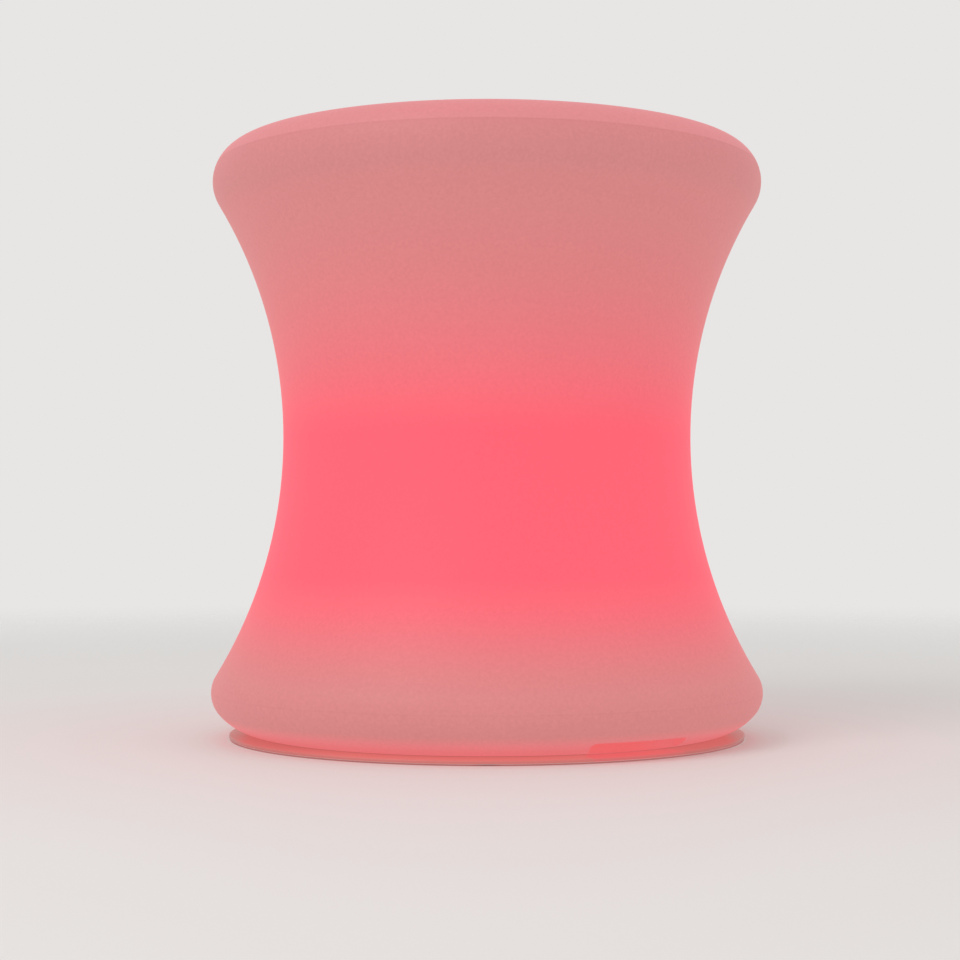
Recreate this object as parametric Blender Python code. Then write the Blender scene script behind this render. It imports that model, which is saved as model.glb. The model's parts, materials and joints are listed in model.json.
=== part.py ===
"""Light-up stool: a waisted, rotomoulded seat that stands on a base plate and glows from the lamp inside it.

Metres, +Z up, front towards -Y. The origin is on the floor, under the middle of the stool.
"""

import math

import bmesh
import bpy
from mathutils import Matrix

# Fits that every seat, hole and cut shares
SEAT_GAP = 0.0003
OVERRUN = 0.002
FUSE = 0.0008
WELD = 0.000001

# Stool body, measured over its outside
STOOL_HEIGHT = 0.430
RIM_RADIUS = 0.200
WAIST_DEPTH = 0.0514
TOP_EDGE_RADIUS = 0.028
LOWER_EDGE_RADIUS = 0.0225
LOWER_EDGE_HEIGHT = 0.0333
UNDER_TURN = math.radians(40)
SHELL_WALL = 0.005

# Opening in the bottom of the body, with the inward flange that the base plate is screwed to
FOOT_SETBACK = 0.046
FLANGE_WIDTH = 0.024
BASE_SCREW_SETBACK = 0.010
BASE_SCREWS = 4
BASE_SCREW_TURN = math.radians(45)
BOSS_WALL = 0.0038
BOSS_CAP = 0.003

# Grip recess under the front right of the rim
GRIP_TURN = math.radians(33)
GRIP_WIDTH = 0.079
GRIP_TOP = 0.0130
GRIP_SETBACK = 0.016
GRIP_CORNER = 0.004

# Base plate: a thin lip under the rim, stepped up into the body's opening
PLATE_SETBACK = 0.013
PLATE_THICKNESS = 0.0025
PLATE_STEP = 0.0082
PLATE_EDGE_RADIUS = 0.0009
STEP_DRAFT = 0.0008
RIB_WIDTH = 0.0025
RIB_HEIGHT = 0.0050
RIB_MARGIN = 0.005
RIBS = 8
BASE_GASKET_MARGIN = 0.002
BASE_GASKET_WIDTH = 0.0055
BASE_GASKET_THICKNESS = 0.0012

# Foot pads in pockets under the lip
PADS = 6
PAD_SETBACK = 0.016
PAD_RADIUS = 0.010
PAD_THICKNESS = 0.0020
PAD_STAND = 0.0010
PAD_CHAMFER = 0.0004
PAD_TURN = math.radians(30)

# Machine screws and moulded-in threads of the base
BASE_SHANK_RADIUS = 0.00185
BASE_HEAD_RADIUS = 0.0040
BASE_HEAD_HEIGHT = 0.0024
INSERT_RADIUS = 0.0032
INSERT_LENGTH = 0.0080
INSERT_GROOVE_DEPTH = 0.0004
INSERT_GROOVE_SHARE = 0.2
SCREW_TIP_ROOM = 0.0012

# Lamp housing: a cup through the middle of the plate, with its flange under the plate
HOUSING_WALL = 0.0025
HOUSING_ROOM = 0.004
HOUSING_RISE = 0.0039
HOUSING_FLANGE_WIDTH = 0.014
HOUSING_FLANGE_THICKNESS = 0.0040
HOUSING_GASKET_WIDTH = 0.0040
HOUSING_GASKET_THICKNESS = 0.0010
FLANGE_CHAMFER = 0.0010
LAMP_SCREWS = 4
LAMP_SCREW_SETBACK = 0.005
LAMP_BOSS_WALL = 0.0025
DISH_SETBACK = 0.0175
DISH_RISE = 0.0060
DISH_FLOOR = 0.0030
DISH_DRAFT = 0.0020

# Small self-tapping screws of the lamp
TAP_SHANK_RADIUS = 0.0014
TAP_HEAD_RADIUS = 0.0028
TAP_HEAD_HEIGHT = 0.0016
TAP_LENGTH = 0.0090
LAMP_SCREW_LENGTH = 0.0110
POST_RADIUS = 0.0032

# Push buttons in the dish, and their switches
BUTTON_X = 0.0160
BUTTON_Y = -0.0080
POWER_CAP_RADIUS = 0.0075
MODE_CAP_RADIUS = 0.0062
BUTTON_PROUD = 0.0025
BUTTON_CHAMFER = 0.0008
BUTTON_FLANGE = 0.0018
BUTTON_FLANGE_THICKNESS = 0.0012
BUTTON_TRAVEL = 0.0012
STEM_RADIUS = 0.0016
SWITCH_WIDTH = 0.0100
SWITCH_FLOOR = 0.0005
SWITCH_CORNER = 0.0006

# Round charging socket and its rubber flap
SOCKET_Y = 0.0160
SOCKET_NOSE_RADIUS = 0.0055
SOCKET_BORE_RADIUS = 0.00285
SOCKET_PIN_RADIUS = 0.00105
SOCKET_PIN_SETBACK = 0.0015
SOCKET_BACK = 0.0029
SOCKET_WIDTH = 0.0110
SOCKET_LENGTH = 0.0130
FLAP_RADIUS = 0.0080
FLAP_THICKNESS = 0.0015
FLAP_REACH = 0.0115
FLAP_ARM_WIDTH = 0.0050
KNUCKLE_RADIUS = 0.0016
KNUCKLE_WIDTH = 0.0060
TRUNNION_RADIUS = 0.0008
TRUNNION_LENGTH = 0.0015
EAR_THICKNESS = 0.0022
EAR_RADIUS = 0.0022
FLAP_TAB_LENGTH = 0.0022

# Control board over the dish
CONTROL_BOARD_MARGIN = 0.001
CONTROL_BOARD_RISE = 0.0094
BOARD_THICKNESS = 0.0016
CONTROL_POST_SETBACK = 0.005
CONTROL_POSTS = 3
CONTROL_POST_TURN = math.radians(90)

# Battery cradle across the cup, two cells of the common 18 by 65 mm size, and the strap over them
CELL_RADIUS = 0.00925
CELL_LENGTH = 0.0650
CELL_CRIMP = 0.0008
CRADLE_FLOOR = 0.0022
CRADLE_RIB = 0.0015
CRADLE_END_WALL = 0.0040
CRADLE_SIDE_WALL = 0.0018
CRADLE_DEPTH_SHARE = 0.84
CRADLE_OVER_BOARD = 0.0058
CRADLE_EAR_WIDTH = 0.0090
CRADLE_EAR_THICKNESS = 0.0025
CRADLE_EAR_REACH = 0.0147
STRAP_WIDTH = 0.0120
STRAP_THICKNESS = 0.0010
STRAP_LAP = 0.003
STRAP_BEND = 0.0035

# Lamp board over the cells, its light sources and the remote sensor
LAMP_BOARD_MARGIN = 0.0057
LAMP_BOARD_OVER_CELLS = 0.0021
LAMP_POST_SETBACK = 0.0023
LAMP_POSTS = 3
LEDS = 8
LED_SETBACK = 0.0168
LED_WIDTH = 0.0050
LED_HEIGHT = 0.0016
LED_CORNER = 0.0006
SENSOR_WIDTH = 0.0060
SENSOR_DEPTH = 0.0044
SENSOR_HEIGHT = 0.0070
SENSOR_CORNER = 0.0012

# Diffuser dome pushed into the mouth of the cup
DOME_HEIGHT = 0.0280
DOME_WALL = 0.0020
DOME_FLANGE_THICKNESS = 0.0025
DOME_SKIRT_DEPTH = 0.0040
DOME_SKIRT_WALL = 0.0037
SEAL_RADIUS = 0.00075

# Leads, two cores in one sleeve
LEAD_RADIUS = 0.0010
LEAD_ROOM = 0.0055
LEAD_POINTS = 12

# Facets round each kind of piece
SHELL_SEGMENTS = 48
CAVITY_SEGMENTS = 24
PLATE_SEGMENTS = 40
HOUSING_SEGMENTS = 28
DOME_SEGMENTS = 28
DOME_STEPS = 5
PAD_SEGMENTS = 12
SCREW_SEGMENTS = 8
HOLE_SEGMENTS = 8
BUTTON_SEGMENTS = 16
CELL_SEGMENTS = 14
SMOOTH_ANGLE = math.radians(35)

# Battery cradle, worked out from the cells
CHANNEL_RADIUS = CELL_RADIUS + SEAT_GAP
CELL_SPACING = 2 * CHANNEL_RADIUS + CRADLE_RIB
CRADLE_HALF_LENGTH = CELL_LENGTH / 2 + SEAT_GAP + CRADLE_END_WALL
CRADLE_HALF_WIDTH = CELL_SPACING / 2 + CHANNEL_RADIUS + CRADLE_SIDE_WALL
CRADLE_EAR_END = CRADLE_HALF_LENGTH + CRADLE_EAR_REACH
CRADLE_POST_X = CRADLE_EAR_END - CRADLE_EAR_WIDTH / 2

# Radii of the lamp, worked out from the cradle that lies across it
HOUSING_BORE_RADIUS = CRADLE_EAR_END + HOUSING_ROOM
HOUSING_RADIUS = HOUSING_BORE_RADIUS + HOUSING_WALL
HOUSING_FLANGE_RADIUS = HOUSING_RADIUS + HOUSING_FLANGE_WIDTH
LAMP_SCREW_CIRCLE = HOUSING_FLANGE_RADIUS - LAMP_SCREW_SETBACK
LAMP_HOLE_RADIUS = HOUSING_RADIUS + SEAT_GAP
DISH_RADIUS = HOUSING_BORE_RADIUS - DISH_SETBACK
CONTROL_BOARD_RADIUS = DISH_RADIUS - CONTROL_BOARD_MARGIN
CONTROL_POST_CIRCLE = CONTROL_BOARD_RADIUS - CONTROL_POST_SETBACK
LAMP_BOARD_RADIUS = HOUSING_BORE_RADIUS - LAMP_BOARD_MARGIN
LAMP_POST_CIRCLE = LAMP_BOARD_RADIUS - LAMP_POST_SETBACK
LED_CIRCLE = LAMP_BOARD_RADIUS - LED_SETBACK

# Radii of the body and the base, worked out from the rim
WAIST_RADIUS = RIM_RADIUS - WAIST_DEPTH
FOOT_INNER_RADIUS = RIM_RADIUS - FOOT_SETBACK
FLANGE_OPENING_RADIUS = FOOT_INNER_RADIUS - FLANGE_WIDTH
BASE_SCREW_CIRCLE = FLANGE_OPENING_RADIUS + BASE_SCREW_SETBACK
GRIP_BACK = FOOT_INNER_RADIUS + GRIP_SETBACK
PLATE_RADIUS = RIM_RADIUS - PLATE_SETBACK
PLATE_STEP_RADIUS = FOOT_INNER_RADIUS - SEAT_GAP
PAD_CIRCLE = PLATE_RADIUS - PAD_SETBACK
RIB_INNER_RADIUS = HOUSING_FLANGE_RADIUS + RIB_MARGIN
RIB_OUTER_RADIUS = BASE_SCREW_CIRCLE - BASE_HEAD_RADIUS - RIB_MARGIN
RIB_RING_RADIUS = (RIB_INNER_RADIUS + RIB_OUTER_RADIUS) / 2
BASE_GASKET_OUTER = FOOT_INNER_RADIUS - BASE_GASKET_MARGIN
BASE_GASKET_INNER = BASE_GASKET_OUTER - BASE_GASKET_WIDTH

# Holes round screws and inserts
INSERT_HOLE_RADIUS = INSERT_RADIUS + SEAT_GAP
INSERT_BORE_RADIUS = BASE_SHANK_RADIUS + SEAT_GAP
BOSS_RADIUS = INSERT_HOLE_RADIUS + BOSS_WALL
TAP_HOLE_RADIUS = TAP_SHANK_RADIUS + SEAT_GAP
LAMP_BOSS_RADIUS = TAP_HOLE_RADIUS + LAMP_BOSS_WALL

# Heights that follow from the stack of base, gasket and body
LIP_TOP = PAD_STAND + PLATE_THICKNESS
SHELL_FOOT = LIP_TOP + SEAT_GAP
WEB_UNDER = PAD_STAND + PLATE_STEP
WEB_TOP = WEB_UNDER + PLATE_THICKNESS
BASE_GASKET_LOW = WEB_TOP + SEAT_GAP
FLANGE_UNDER = BASE_GASKET_LOW + BASE_GASKET_THICKNESS + SEAT_GAP
FLANGE_TOP = FLANGE_UNDER + SHELL_WALL
INSERT_LOW = FLANGE_UNDER + SEAT_GAP
INSERT_HOLE_TOP = INSERT_LOW + INSERT_LENGTH + SCREW_TIP_ROOM
BOSS_TOP = INSERT_HOLE_TOP + BOSS_CAP

# Heights inside the lamp
HOUSING_GASKET_TOP = WEB_UNDER - SEAT_GAP
HOUSING_GASKET_LOW = HOUSING_GASKET_TOP - HOUSING_GASKET_THICKNESS
HOUSING_FLANGE_TOP = HOUSING_GASKET_LOW - SEAT_GAP
HOUSING_FLANGE_LOW = HOUSING_FLANGE_TOP - HOUSING_FLANGE_THICKNESS
DISH_UNDER = HOUSING_FLANGE_LOW + DISH_RISE
DISH_TOP = DISH_UNDER + DISH_FLOOR
CONTROL_LOW = DISH_TOP + CONTROL_BOARD_RISE
CONTROL_TOP = CONTROL_LOW + BOARD_THICKNESS
CRADLE_LOW = CONTROL_TOP + CRADLE_OVER_BOARD
CELL_HEIGHT = CRADLE_LOW + CRADLE_FLOOR + CHANNEL_RADIUS
CELL_TOP = CELL_HEIGHT + CELL_RADIUS
CRADLE_TOP = CRADLE_LOW + CRADLE_FLOOR + CHANNEL_RADIUS * CRADLE_DEPTH_SHARE
LAMP_BOARD_LOW = CELL_TOP + LAMP_BOARD_OVER_CELLS
LAMP_BOARD_TOP = LAMP_BOARD_LOW + BOARD_THICKNESS
HOUSING_TOP = LAMP_BOARD_TOP + HOUSING_RISE
LAMP_SCREW_SEAT = HOUSING_FLANGE_LOW + TAP_HEAD_HEIGHT + SEAT_GAP
LAMP_PILOT_TOP = LAMP_SCREW_SEAT + LAMP_SCREW_LENGTH + SCREW_TIP_ROOM
LAMP_BOSS_TOP = LAMP_PILOT_TOP + SCREW_TIP_ROOM

# Heights and places of the controls
SWITCH_LOW = DISH_TOP + BUTTON_FLANGE_THICKNESS + BUTTON_TRAVEL + 3 * SEAT_GAP
SWITCH_TOP = CONTROL_LOW - SEAT_GAP
STEM_TOP = SWITCH_TOP - SWITCH_FLOOR - BUTTON_TRAVEL - SEAT_GAP
FLAP_HINGE_Y = SOCKET_Y + FLAP_REACH
FLAP_HINGE_HEIGHT = DISH_UNDER - SEAT_GAP - KNUCKLE_RADIUS
EAR_GAP = KNUCKLE_WIDTH / 2 + SEAT_GAP


def clear_scene():
    for obj in list(bpy.data.objects):
        bpy.data.objects.remove(obj, do_unlink=True)


def make_finish(name, colour, roughness, metallic=0.0):
    """A Principled material with one colour, as the piece looks unlit."""
    finish = bpy.data.materials.new(name)
    finish.use_nodes = True
    shader = finish.node_tree.nodes["Principled BSDF"]
    shader.inputs["Base Color"].default_value = (*colour, 1.0)
    shader.inputs["Roughness"].default_value = roughness
    shader.inputs["Metallic"].default_value = metallic
    return finish


def make_glow_finish(name, colour, roughness, glow, strength):
    """The same, for plastic that glows from the light behind it."""
    finish = make_finish(name, colour, roughness)
    shader = finish.node_tree.nodes["Principled BSDF"]
    shader.inputs["Emission Color"].default_value = (*glow, 1.0)
    shader.inputs["Emission Strength"].default_value = strength
    return finish


def arc(centre, radius, start, end, steps):
    """Points of an arc in the (radius, height) plane, both ends included."""
    turns = (start + (end - start) * step / steps for step in range(steps + 1))
    return [
        (centre[0] + radius * math.cos(turn), centre[1] + radius * math.sin(turn)) for turn in turns
    ]


def around(circle, count, first=0.0):
    """Evenly spaced places on a circle round +Z."""
    turns = (first + 2 * math.pi * index / count for index in range(count))
    return [(circle * math.cos(turn), circle * math.sin(turn)) for turn in turns]


def spun(outline, segments, place=(0, 0, 0)):
    """A closed outline of (radius, height) points, spun round +Z and moved to its place."""
    shape = bmesh.new()
    verts = [shape.verts.new((radius, 0, height)) for radius, height in outline]
    pairs = zip(verts, verts[1:] + verts[:1])
    edges = [shape.edges.new(pair) for pair in pairs if pair[0].co.x > 0 or pair[1].co.x > 0]
    bmesh.ops.spin(
        shape,
        geom=verts + edges,
        cent=(0, 0, 0),
        axis=(0, 0, 1),
        angle=2 * math.pi,
        steps=segments,
        use_merge=True,
    )
    bmesh.ops.remove_doubles(shape, verts=shape.verts, dist=WELD)
    bmesh.ops.recalc_face_normals(shape, faces=shape.faces)
    bmesh.ops.translate(shape, verts=shape.verts, vec=place)
    return shape


def tube(inner, outer, low, high):
    return [(inner, low), (outer, low), (outer, high), (inner, high)]


def rod(radius, low, high):
    return [(0, low), (radius, low), (radius, high), (0, high)]


def slab(half_length, half_width, low, high, corner=0.0, steps=3, place=(0, 0), turn=0.0):
    """An upright block with its four upright edges rounded."""
    plan = []
    for index in range(4):
        quarter = index * math.pi / 2
        side_x = math.copysign(half_length - corner, math.cos(quarter + math.pi / 4))
        side_y = math.copysign(half_width - corner, math.sin(quarter + math.pi / 4))
        if corner:
            plan += arc((side_x, side_y), corner, quarter, quarter + math.pi / 2, steps)
        else:
            plan.append((side_x, side_y))
    shape = bmesh.new()
    face = shape.faces.new([shape.verts.new((x, y, low)) for x, y in plan])
    grown = bmesh.ops.extrude_face_region(shape, geom=[face])
    raised = [item for item in grown["geom"] if isinstance(item, bmesh.types.BMVert)]
    bmesh.ops.translate(shape, verts=raised, vec=(0, 0, high - low))
    bmesh.ops.rotate(
        shape,
        verts=shape.verts,
        cent=(0, 0, 0),
        matrix=Matrix.Rotation(turn, 3, "Z"),
    )
    bmesh.ops.translate(shape, verts=shape.verts, vec=(*place, 0))
    bmesh.ops.recalc_face_normals(shape, faces=shape.faces)
    return shape


def lying(shape, place):
    """A shape made along +Z, laid along +X at its place."""
    turn = Matrix.Rotation(math.pi / 2, 3, "Y")
    bmesh.ops.rotate(shape, verts=shape.verts, cent=(0, 0, 0), matrix=turn)
    bmesh.ops.translate(shape, verts=shape.verts, vec=place)
    return shape


def gathered(shapes):
    """Several shapes that don't touch, as one."""
    whole = bmesh.new()
    for shape in shapes:
        mesh = bpy.data.meshes.new("gathered")
        shape.to_mesh(mesh)
        shape.free()
        whole.from_mesh(mesh)
        bpy.data.meshes.remove(mesh)
    return whole


def add_object(name, shape):
    mesh = bpy.data.meshes.new(name)
    shape.to_mesh(mesh)
    shape.free()
    mesh.shade_smooth()
    mesh.set_sharp_from_angle(angle=SMOOTH_ANGLE)
    obj = bpy.data.objects.new(name, mesh)
    bpy.context.scene.collection.objects.link(obj)
    return obj


def piece(name, shape, finish, place=(0, 0, 0)):
    obj = add_object(name, shape)
    obj.data.materials.append(finish)
    obj.location = place
    return obj


def copies(name, shape, finish, places, height=0.0):
    """The same piece at several places, sharing one mesh."""
    first = piece(name + "_1", shape, finish, (*places[0], height))
    for index, place in enumerate(places[1:], start=2):
        obj = bpy.data.objects.new(f"{name}_{index}", first.data)
        obj.location = (*place, height)
        bpy.context.scene.collection.objects.link(obj)


def tool(name, shape):
    """A solid that only cuts or joins."""
    obj = add_object(name, shape)
    obj.hide_render = True
    obj.display_type = "WIRE"
    return obj


def combine(obj, other, operation):
    modifier = obj.modifiers.new(other.name, "BOOLEAN")
    modifier.operation = operation
    modifier.solver = "EXACT"
    modifier.object = other


def cut(obj, other):
    combine(obj, other, "DIFFERENCE")


def fuse(obj, other):
    combine(obj, other, "UNION")


def hourglass(inset, edge_steps, flank_steps, under_steps):
    """The body's side, from the middle of the seat down to where it stands, moved inwards by inset.

    The hollow flank is one arc that runs smoothly into the rounded edges above and below it, and
    the lower edge runs on into a flatter arc under the rim.
    """
    top = (RIM_RADIUS - TOP_EDGE_RADIUS, STOOL_HEIGHT - TOP_EDGE_RADIUS)
    low = (RIM_RADIUS - LOWER_EDGE_RADIUS, LOWER_EDGE_HEIGHT)
    lean = WAIST_DEPTH * (TOP_EDGE_RADIUS - LOWER_EDGE_RADIUS) / (top[1] - low[1])
    middle = (top[1] + low[1]) / 2 - lean
    rise = top[1] - middle
    flank_radius = (rise**2 + (WAIST_RADIUS - top[0]) ** 2 - TOP_EDGE_RADIUS**2) / (2 * WAIST_DEPTH)
    flank = (WAIST_RADIUS + flank_radius, middle)
    upper_turn = math.atan2(rise, flank[0] - top[0])
    lower_turn = math.atan2(middle - low[1], flank[0] - low[0])
    fall = math.sin(UNDER_TURN)
    under_radius = (LOWER_EDGE_HEIGHT - LOWER_EDGE_RADIUS * fall - SHELL_FOOT) / (1 - fall)
    spread = under_radius - LOWER_EDGE_RADIUS
    under = (low[0] - spread * math.cos(UNDER_TURN), low[1] + spread * fall)
    points = [(0, STOOL_HEIGHT - inset)]
    points += arc(top, TOP_EDGE_RADIUS - inset, math.pi / 2, -upper_turn, edge_steps)
    upper, lower = math.pi - upper_turn, math.pi + lower_turn
    points += arc(flank, flank_radius + inset, upper, lower, flank_steps)[1:]
    points += arc(low, LOWER_EDGE_RADIUS - inset, lower_turn, -UNDER_TURN, edge_steps // 2)[1:]
    points += arc(under, under_radius - inset, -UNDER_TURN, -math.pi / 2, under_steps)[1:]
    return points


def grip_block(name, grow):
    """The grip recess as a block, grown on its closed sides, reaching out past the rim."""
    back = GRIP_BACK - grow
    reach = RIM_RADIUS + OVERRUN
    half_length = (reach - back) / 2
    middle = (reach + back) / 2
    turn = GRIP_TURN - math.pi / 2
    place = (middle * math.cos(turn), middle * math.sin(turn))
    low = SHELL_FOOT - OVERRUN
    half_width = GRIP_WIDTH / 2 + grow
    corner = GRIP_CORNER + grow
    block = slab(half_length, half_width, low, GRIP_TOP + grow, corner, place=place, turn=turn)
    return tool(name, block)


def make_shell(finish):
    outside = hourglass(0, edge_steps=8, flank_steps=12, under_steps=4)
    foot_ring = [(FOOT_INNER_RADIUS, SHELL_FOOT), (FOOT_INNER_RADIUS, FLANGE_UNDER), (0, FLANGE_UNDER)]
    shell = piece("stool_shell", spun(outside + foot_ring, SHELL_SEGMENTS), finish)

    hollow = hourglass(SHELL_WALL, edge_steps=4, flank_steps=8, under_steps=2)
    hollow += [
        (FOOT_INNER_RADIUS + SHELL_WALL, SHELL_FOOT + SHELL_WALL),
        (FOOT_INNER_RADIUS + SHELL_WALL, FLANGE_TOP),
        (FLANGE_OPENING_RADIUS, FLANGE_TOP),
        (FLANGE_OPENING_RADIUS, FLANGE_UNDER - OVERRUN),
        (0, FLANGE_UNDER - OVERRUN),
    ]
    cavity = tool("shell_cavity", spun(hollow, CAVITY_SEGMENTS))
    places = around(BASE_SCREW_CIRCLE, BASE_SCREWS, BASE_SCREW_TURN)
    boss = rod(BOSS_RADIUS, FLANGE_TOP - FUSE, BOSS_TOP)
    bosses = [spun(boss, PAD_SEGMENTS, (*place, 0)) for place in places]
    cut(cavity, tool("shell_bosses", gathered(bosses)))
    cut(cavity, grip_block("grip_wall", SHELL_WALL))

    hole = rod(INSERT_HOLE_RADIUS, FLANGE_UNDER - OVERRUN, INSERT_HOLE_TOP)
    holes = [spun(hole, HOLE_SEGMENTS, (*place, 0)) for place in places]
    cut(shell, cavity)
    cut(shell, grip_block("grip_recess", 0))
    cut(shell, tool("insert_holes", gathered(holes)))


def make_base_plate(finish):
    edge = PLATE_EDGE_RADIUS
    outline = [
        (LAMP_HOLE_RADIUS, WEB_UNDER),
        (RIB_RING_RADIUS - RIB_WIDTH / 2, WEB_UNDER),
        (RIB_RING_RADIUS - RIB_WIDTH / 2, WEB_UNDER - RIB_HEIGHT),
        (RIB_RING_RADIUS + RIB_WIDTH / 2, WEB_UNDER - RIB_HEIGHT),
        (RIB_RING_RADIUS + RIB_WIDTH / 2, WEB_UNDER),
        (PLATE_STEP_RADIUS - PLATE_THICKNESS - STEP_DRAFT, WEB_UNDER),
        (PLATE_STEP_RADIUS - PLATE_THICKNESS, PAD_STAND),
    ]
    outline += arc((PLATE_RADIUS - edge, PAD_STAND + edge), edge, -math.pi / 2, 0, 1)
    outline += arc((PLATE_RADIUS - edge, LIP_TOP - edge), edge, 0, math.pi / 2, 1)
    outline += [
        (PLATE_STEP_RADIUS, LIP_TOP),
        (PLATE_STEP_RADIUS - STEP_DRAFT, WEB_TOP),
        (LAMP_HOLE_RADIUS, WEB_TOP),
    ]
    plate = piece("base_plate", spun(outline, PLATE_SEGMENTS), finish)

    rib_half_length = (RIB_OUTER_RADIUS - RIB_INNER_RADIUS) / 2
    rib_middle = (RIB_OUTER_RADIUS + RIB_INNER_RADIUS) / 2
    rib_low = WEB_UNDER - RIB_HEIGHT + FUSE
    ribs = []
    for index in range(RIBS):
        turn = 2 * math.pi * index / RIBS
        place = (rib_middle * math.cos(turn), rib_middle * math.sin(turn))
        ribs.append(
            slab(rib_half_length, RIB_WIDTH / 2, rib_low, WEB_UNDER + FUSE, place=place, turn=turn)
        )
    lamp_places = around(LAMP_SCREW_CIRCLE, LAMP_SCREWS, BASE_SCREW_TURN)
    boss = rod(LAMP_BOSS_RADIUS, WEB_TOP - FUSE, LAMP_BOSS_TOP)
    bosses = [spun(boss, HOLE_SEGMENTS, (*place, 0)) for place in lamp_places]
    fuse(plate, tool("plate_ribs_and_bosses", gathered(ribs + bosses)))

    pocket = rod(PAD_RADIUS + SEAT_GAP, PAD_STAND - OVERRUN, PAD_THICKNESS + SEAT_GAP)
    cuts = [spun(pocket, PAD_SEGMENTS, (*place, 0)) for place in around(PAD_CIRCLE, PADS, PAD_TURN)]
    hole = rod(BASE_SHANK_RADIUS + SEAT_GAP, WEB_UNDER - OVERRUN, WEB_TOP + OVERRUN)
    for place in around(BASE_SCREW_CIRCLE, BASE_SCREWS, BASE_SCREW_TURN):
        cuts.append(spun(hole, HOLE_SEGMENTS, (*place, 0)))
    pilot = rod(TAP_HOLE_RADIUS, WEB_UNDER - OVERRUN, LAMP_PILOT_TOP)
    cuts += [spun(pilot, HOLE_SEGMENTS, (*place, 0)) for place in lamp_places]
    cut(plate, tool("plate_cuts", gathered(cuts)))


def make_base_gasket(finish):
    ring = tube(
        BASE_GASKET_INNER, BASE_GASKET_OUTER, BASE_GASKET_LOW, BASE_GASKET_LOW + BASE_GASKET_THICKNESS
    )
    piece("base_gasket", spun(ring, PLATE_SEGMENTS), finish)


def make_pads(finish):
    outline = [
        (0, 0),
        (PAD_RADIUS - PAD_CHAMFER, 0),
        (PAD_RADIUS, PAD_CHAMFER),
        (PAD_RADIUS, PAD_THICKNESS),
        (0, PAD_THICKNESS),
    ]
    copies("foot_pad", spun(outline, PAD_SEGMENTS), finish, around(PAD_CIRCLE, PADS, PAD_TURN))


def screw_outline(shank, length, head, head_height):
    """A round-headed screw that points up, its head below the seat at height 0."""
    return [
        (0, -head_height),
        (head / 2, -head_height),
        (head, -head_height / 2),
        (head, 0),
        (shank, 0),
        (shank, length - shank),
        (0, length),
    ]


def turned_over(outline):
    return [(radius, -height) for radius, height in reversed(outline)]


def make_base_fasteners(steel, brass):
    places = around(BASE_SCREW_CIRCLE, BASE_SCREWS, BASE_SCREW_TURN)
    seat = WEB_UNDER - SEAT_GAP
    length = INSERT_LOW + INSERT_LENGTH - seat
    outline = screw_outline(BASE_SHANK_RADIUS, length, BASE_HEAD_RADIUS, BASE_HEAD_HEIGHT)
    copies("base_screw", spun(outline, SCREW_SEGMENTS), steel, places, seat)

    groove = INSERT_RADIUS - INSERT_GROOVE_DEPTH
    middle = INSERT_LENGTH / 2
    half_groove = INSERT_LENGTH * INSERT_GROOVE_SHARE / 2
    insert = [
        (INSERT_BORE_RADIUS, 0),
        (INSERT_RADIUS, 0),
        (INSERT_RADIUS, middle - half_groove),
        (groove, middle - half_groove),
        (groove, middle + half_groove),
        (INSERT_RADIUS, middle + half_groove),
        (INSERT_RADIUS, INSERT_LENGTH),
        (INSERT_BORE_RADIUS, INSERT_LENGTH),
    ]
    copies("base_insert", spun(insert, HOLE_SEGMENTS), brass, places, INSERT_LOW)


def flap_ears():
    """Two ears under the dish floor, with the hole that the flap's trunnions turn in."""
    ears = []
    for side in (-1, 1):
        x = side * (EAR_GAP + EAR_THICKNESS / 2)
        low = DISH_UNDER - EAR_RADIUS - KNUCKLE_RADIUS - SEAT_GAP
        place = (x, FLAP_HINGE_Y)
        ears.append(slab(EAR_THICKNESS / 2, EAR_RADIUS, low, DISH_UNDER + FUSE, place=place))
    return ears


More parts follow.
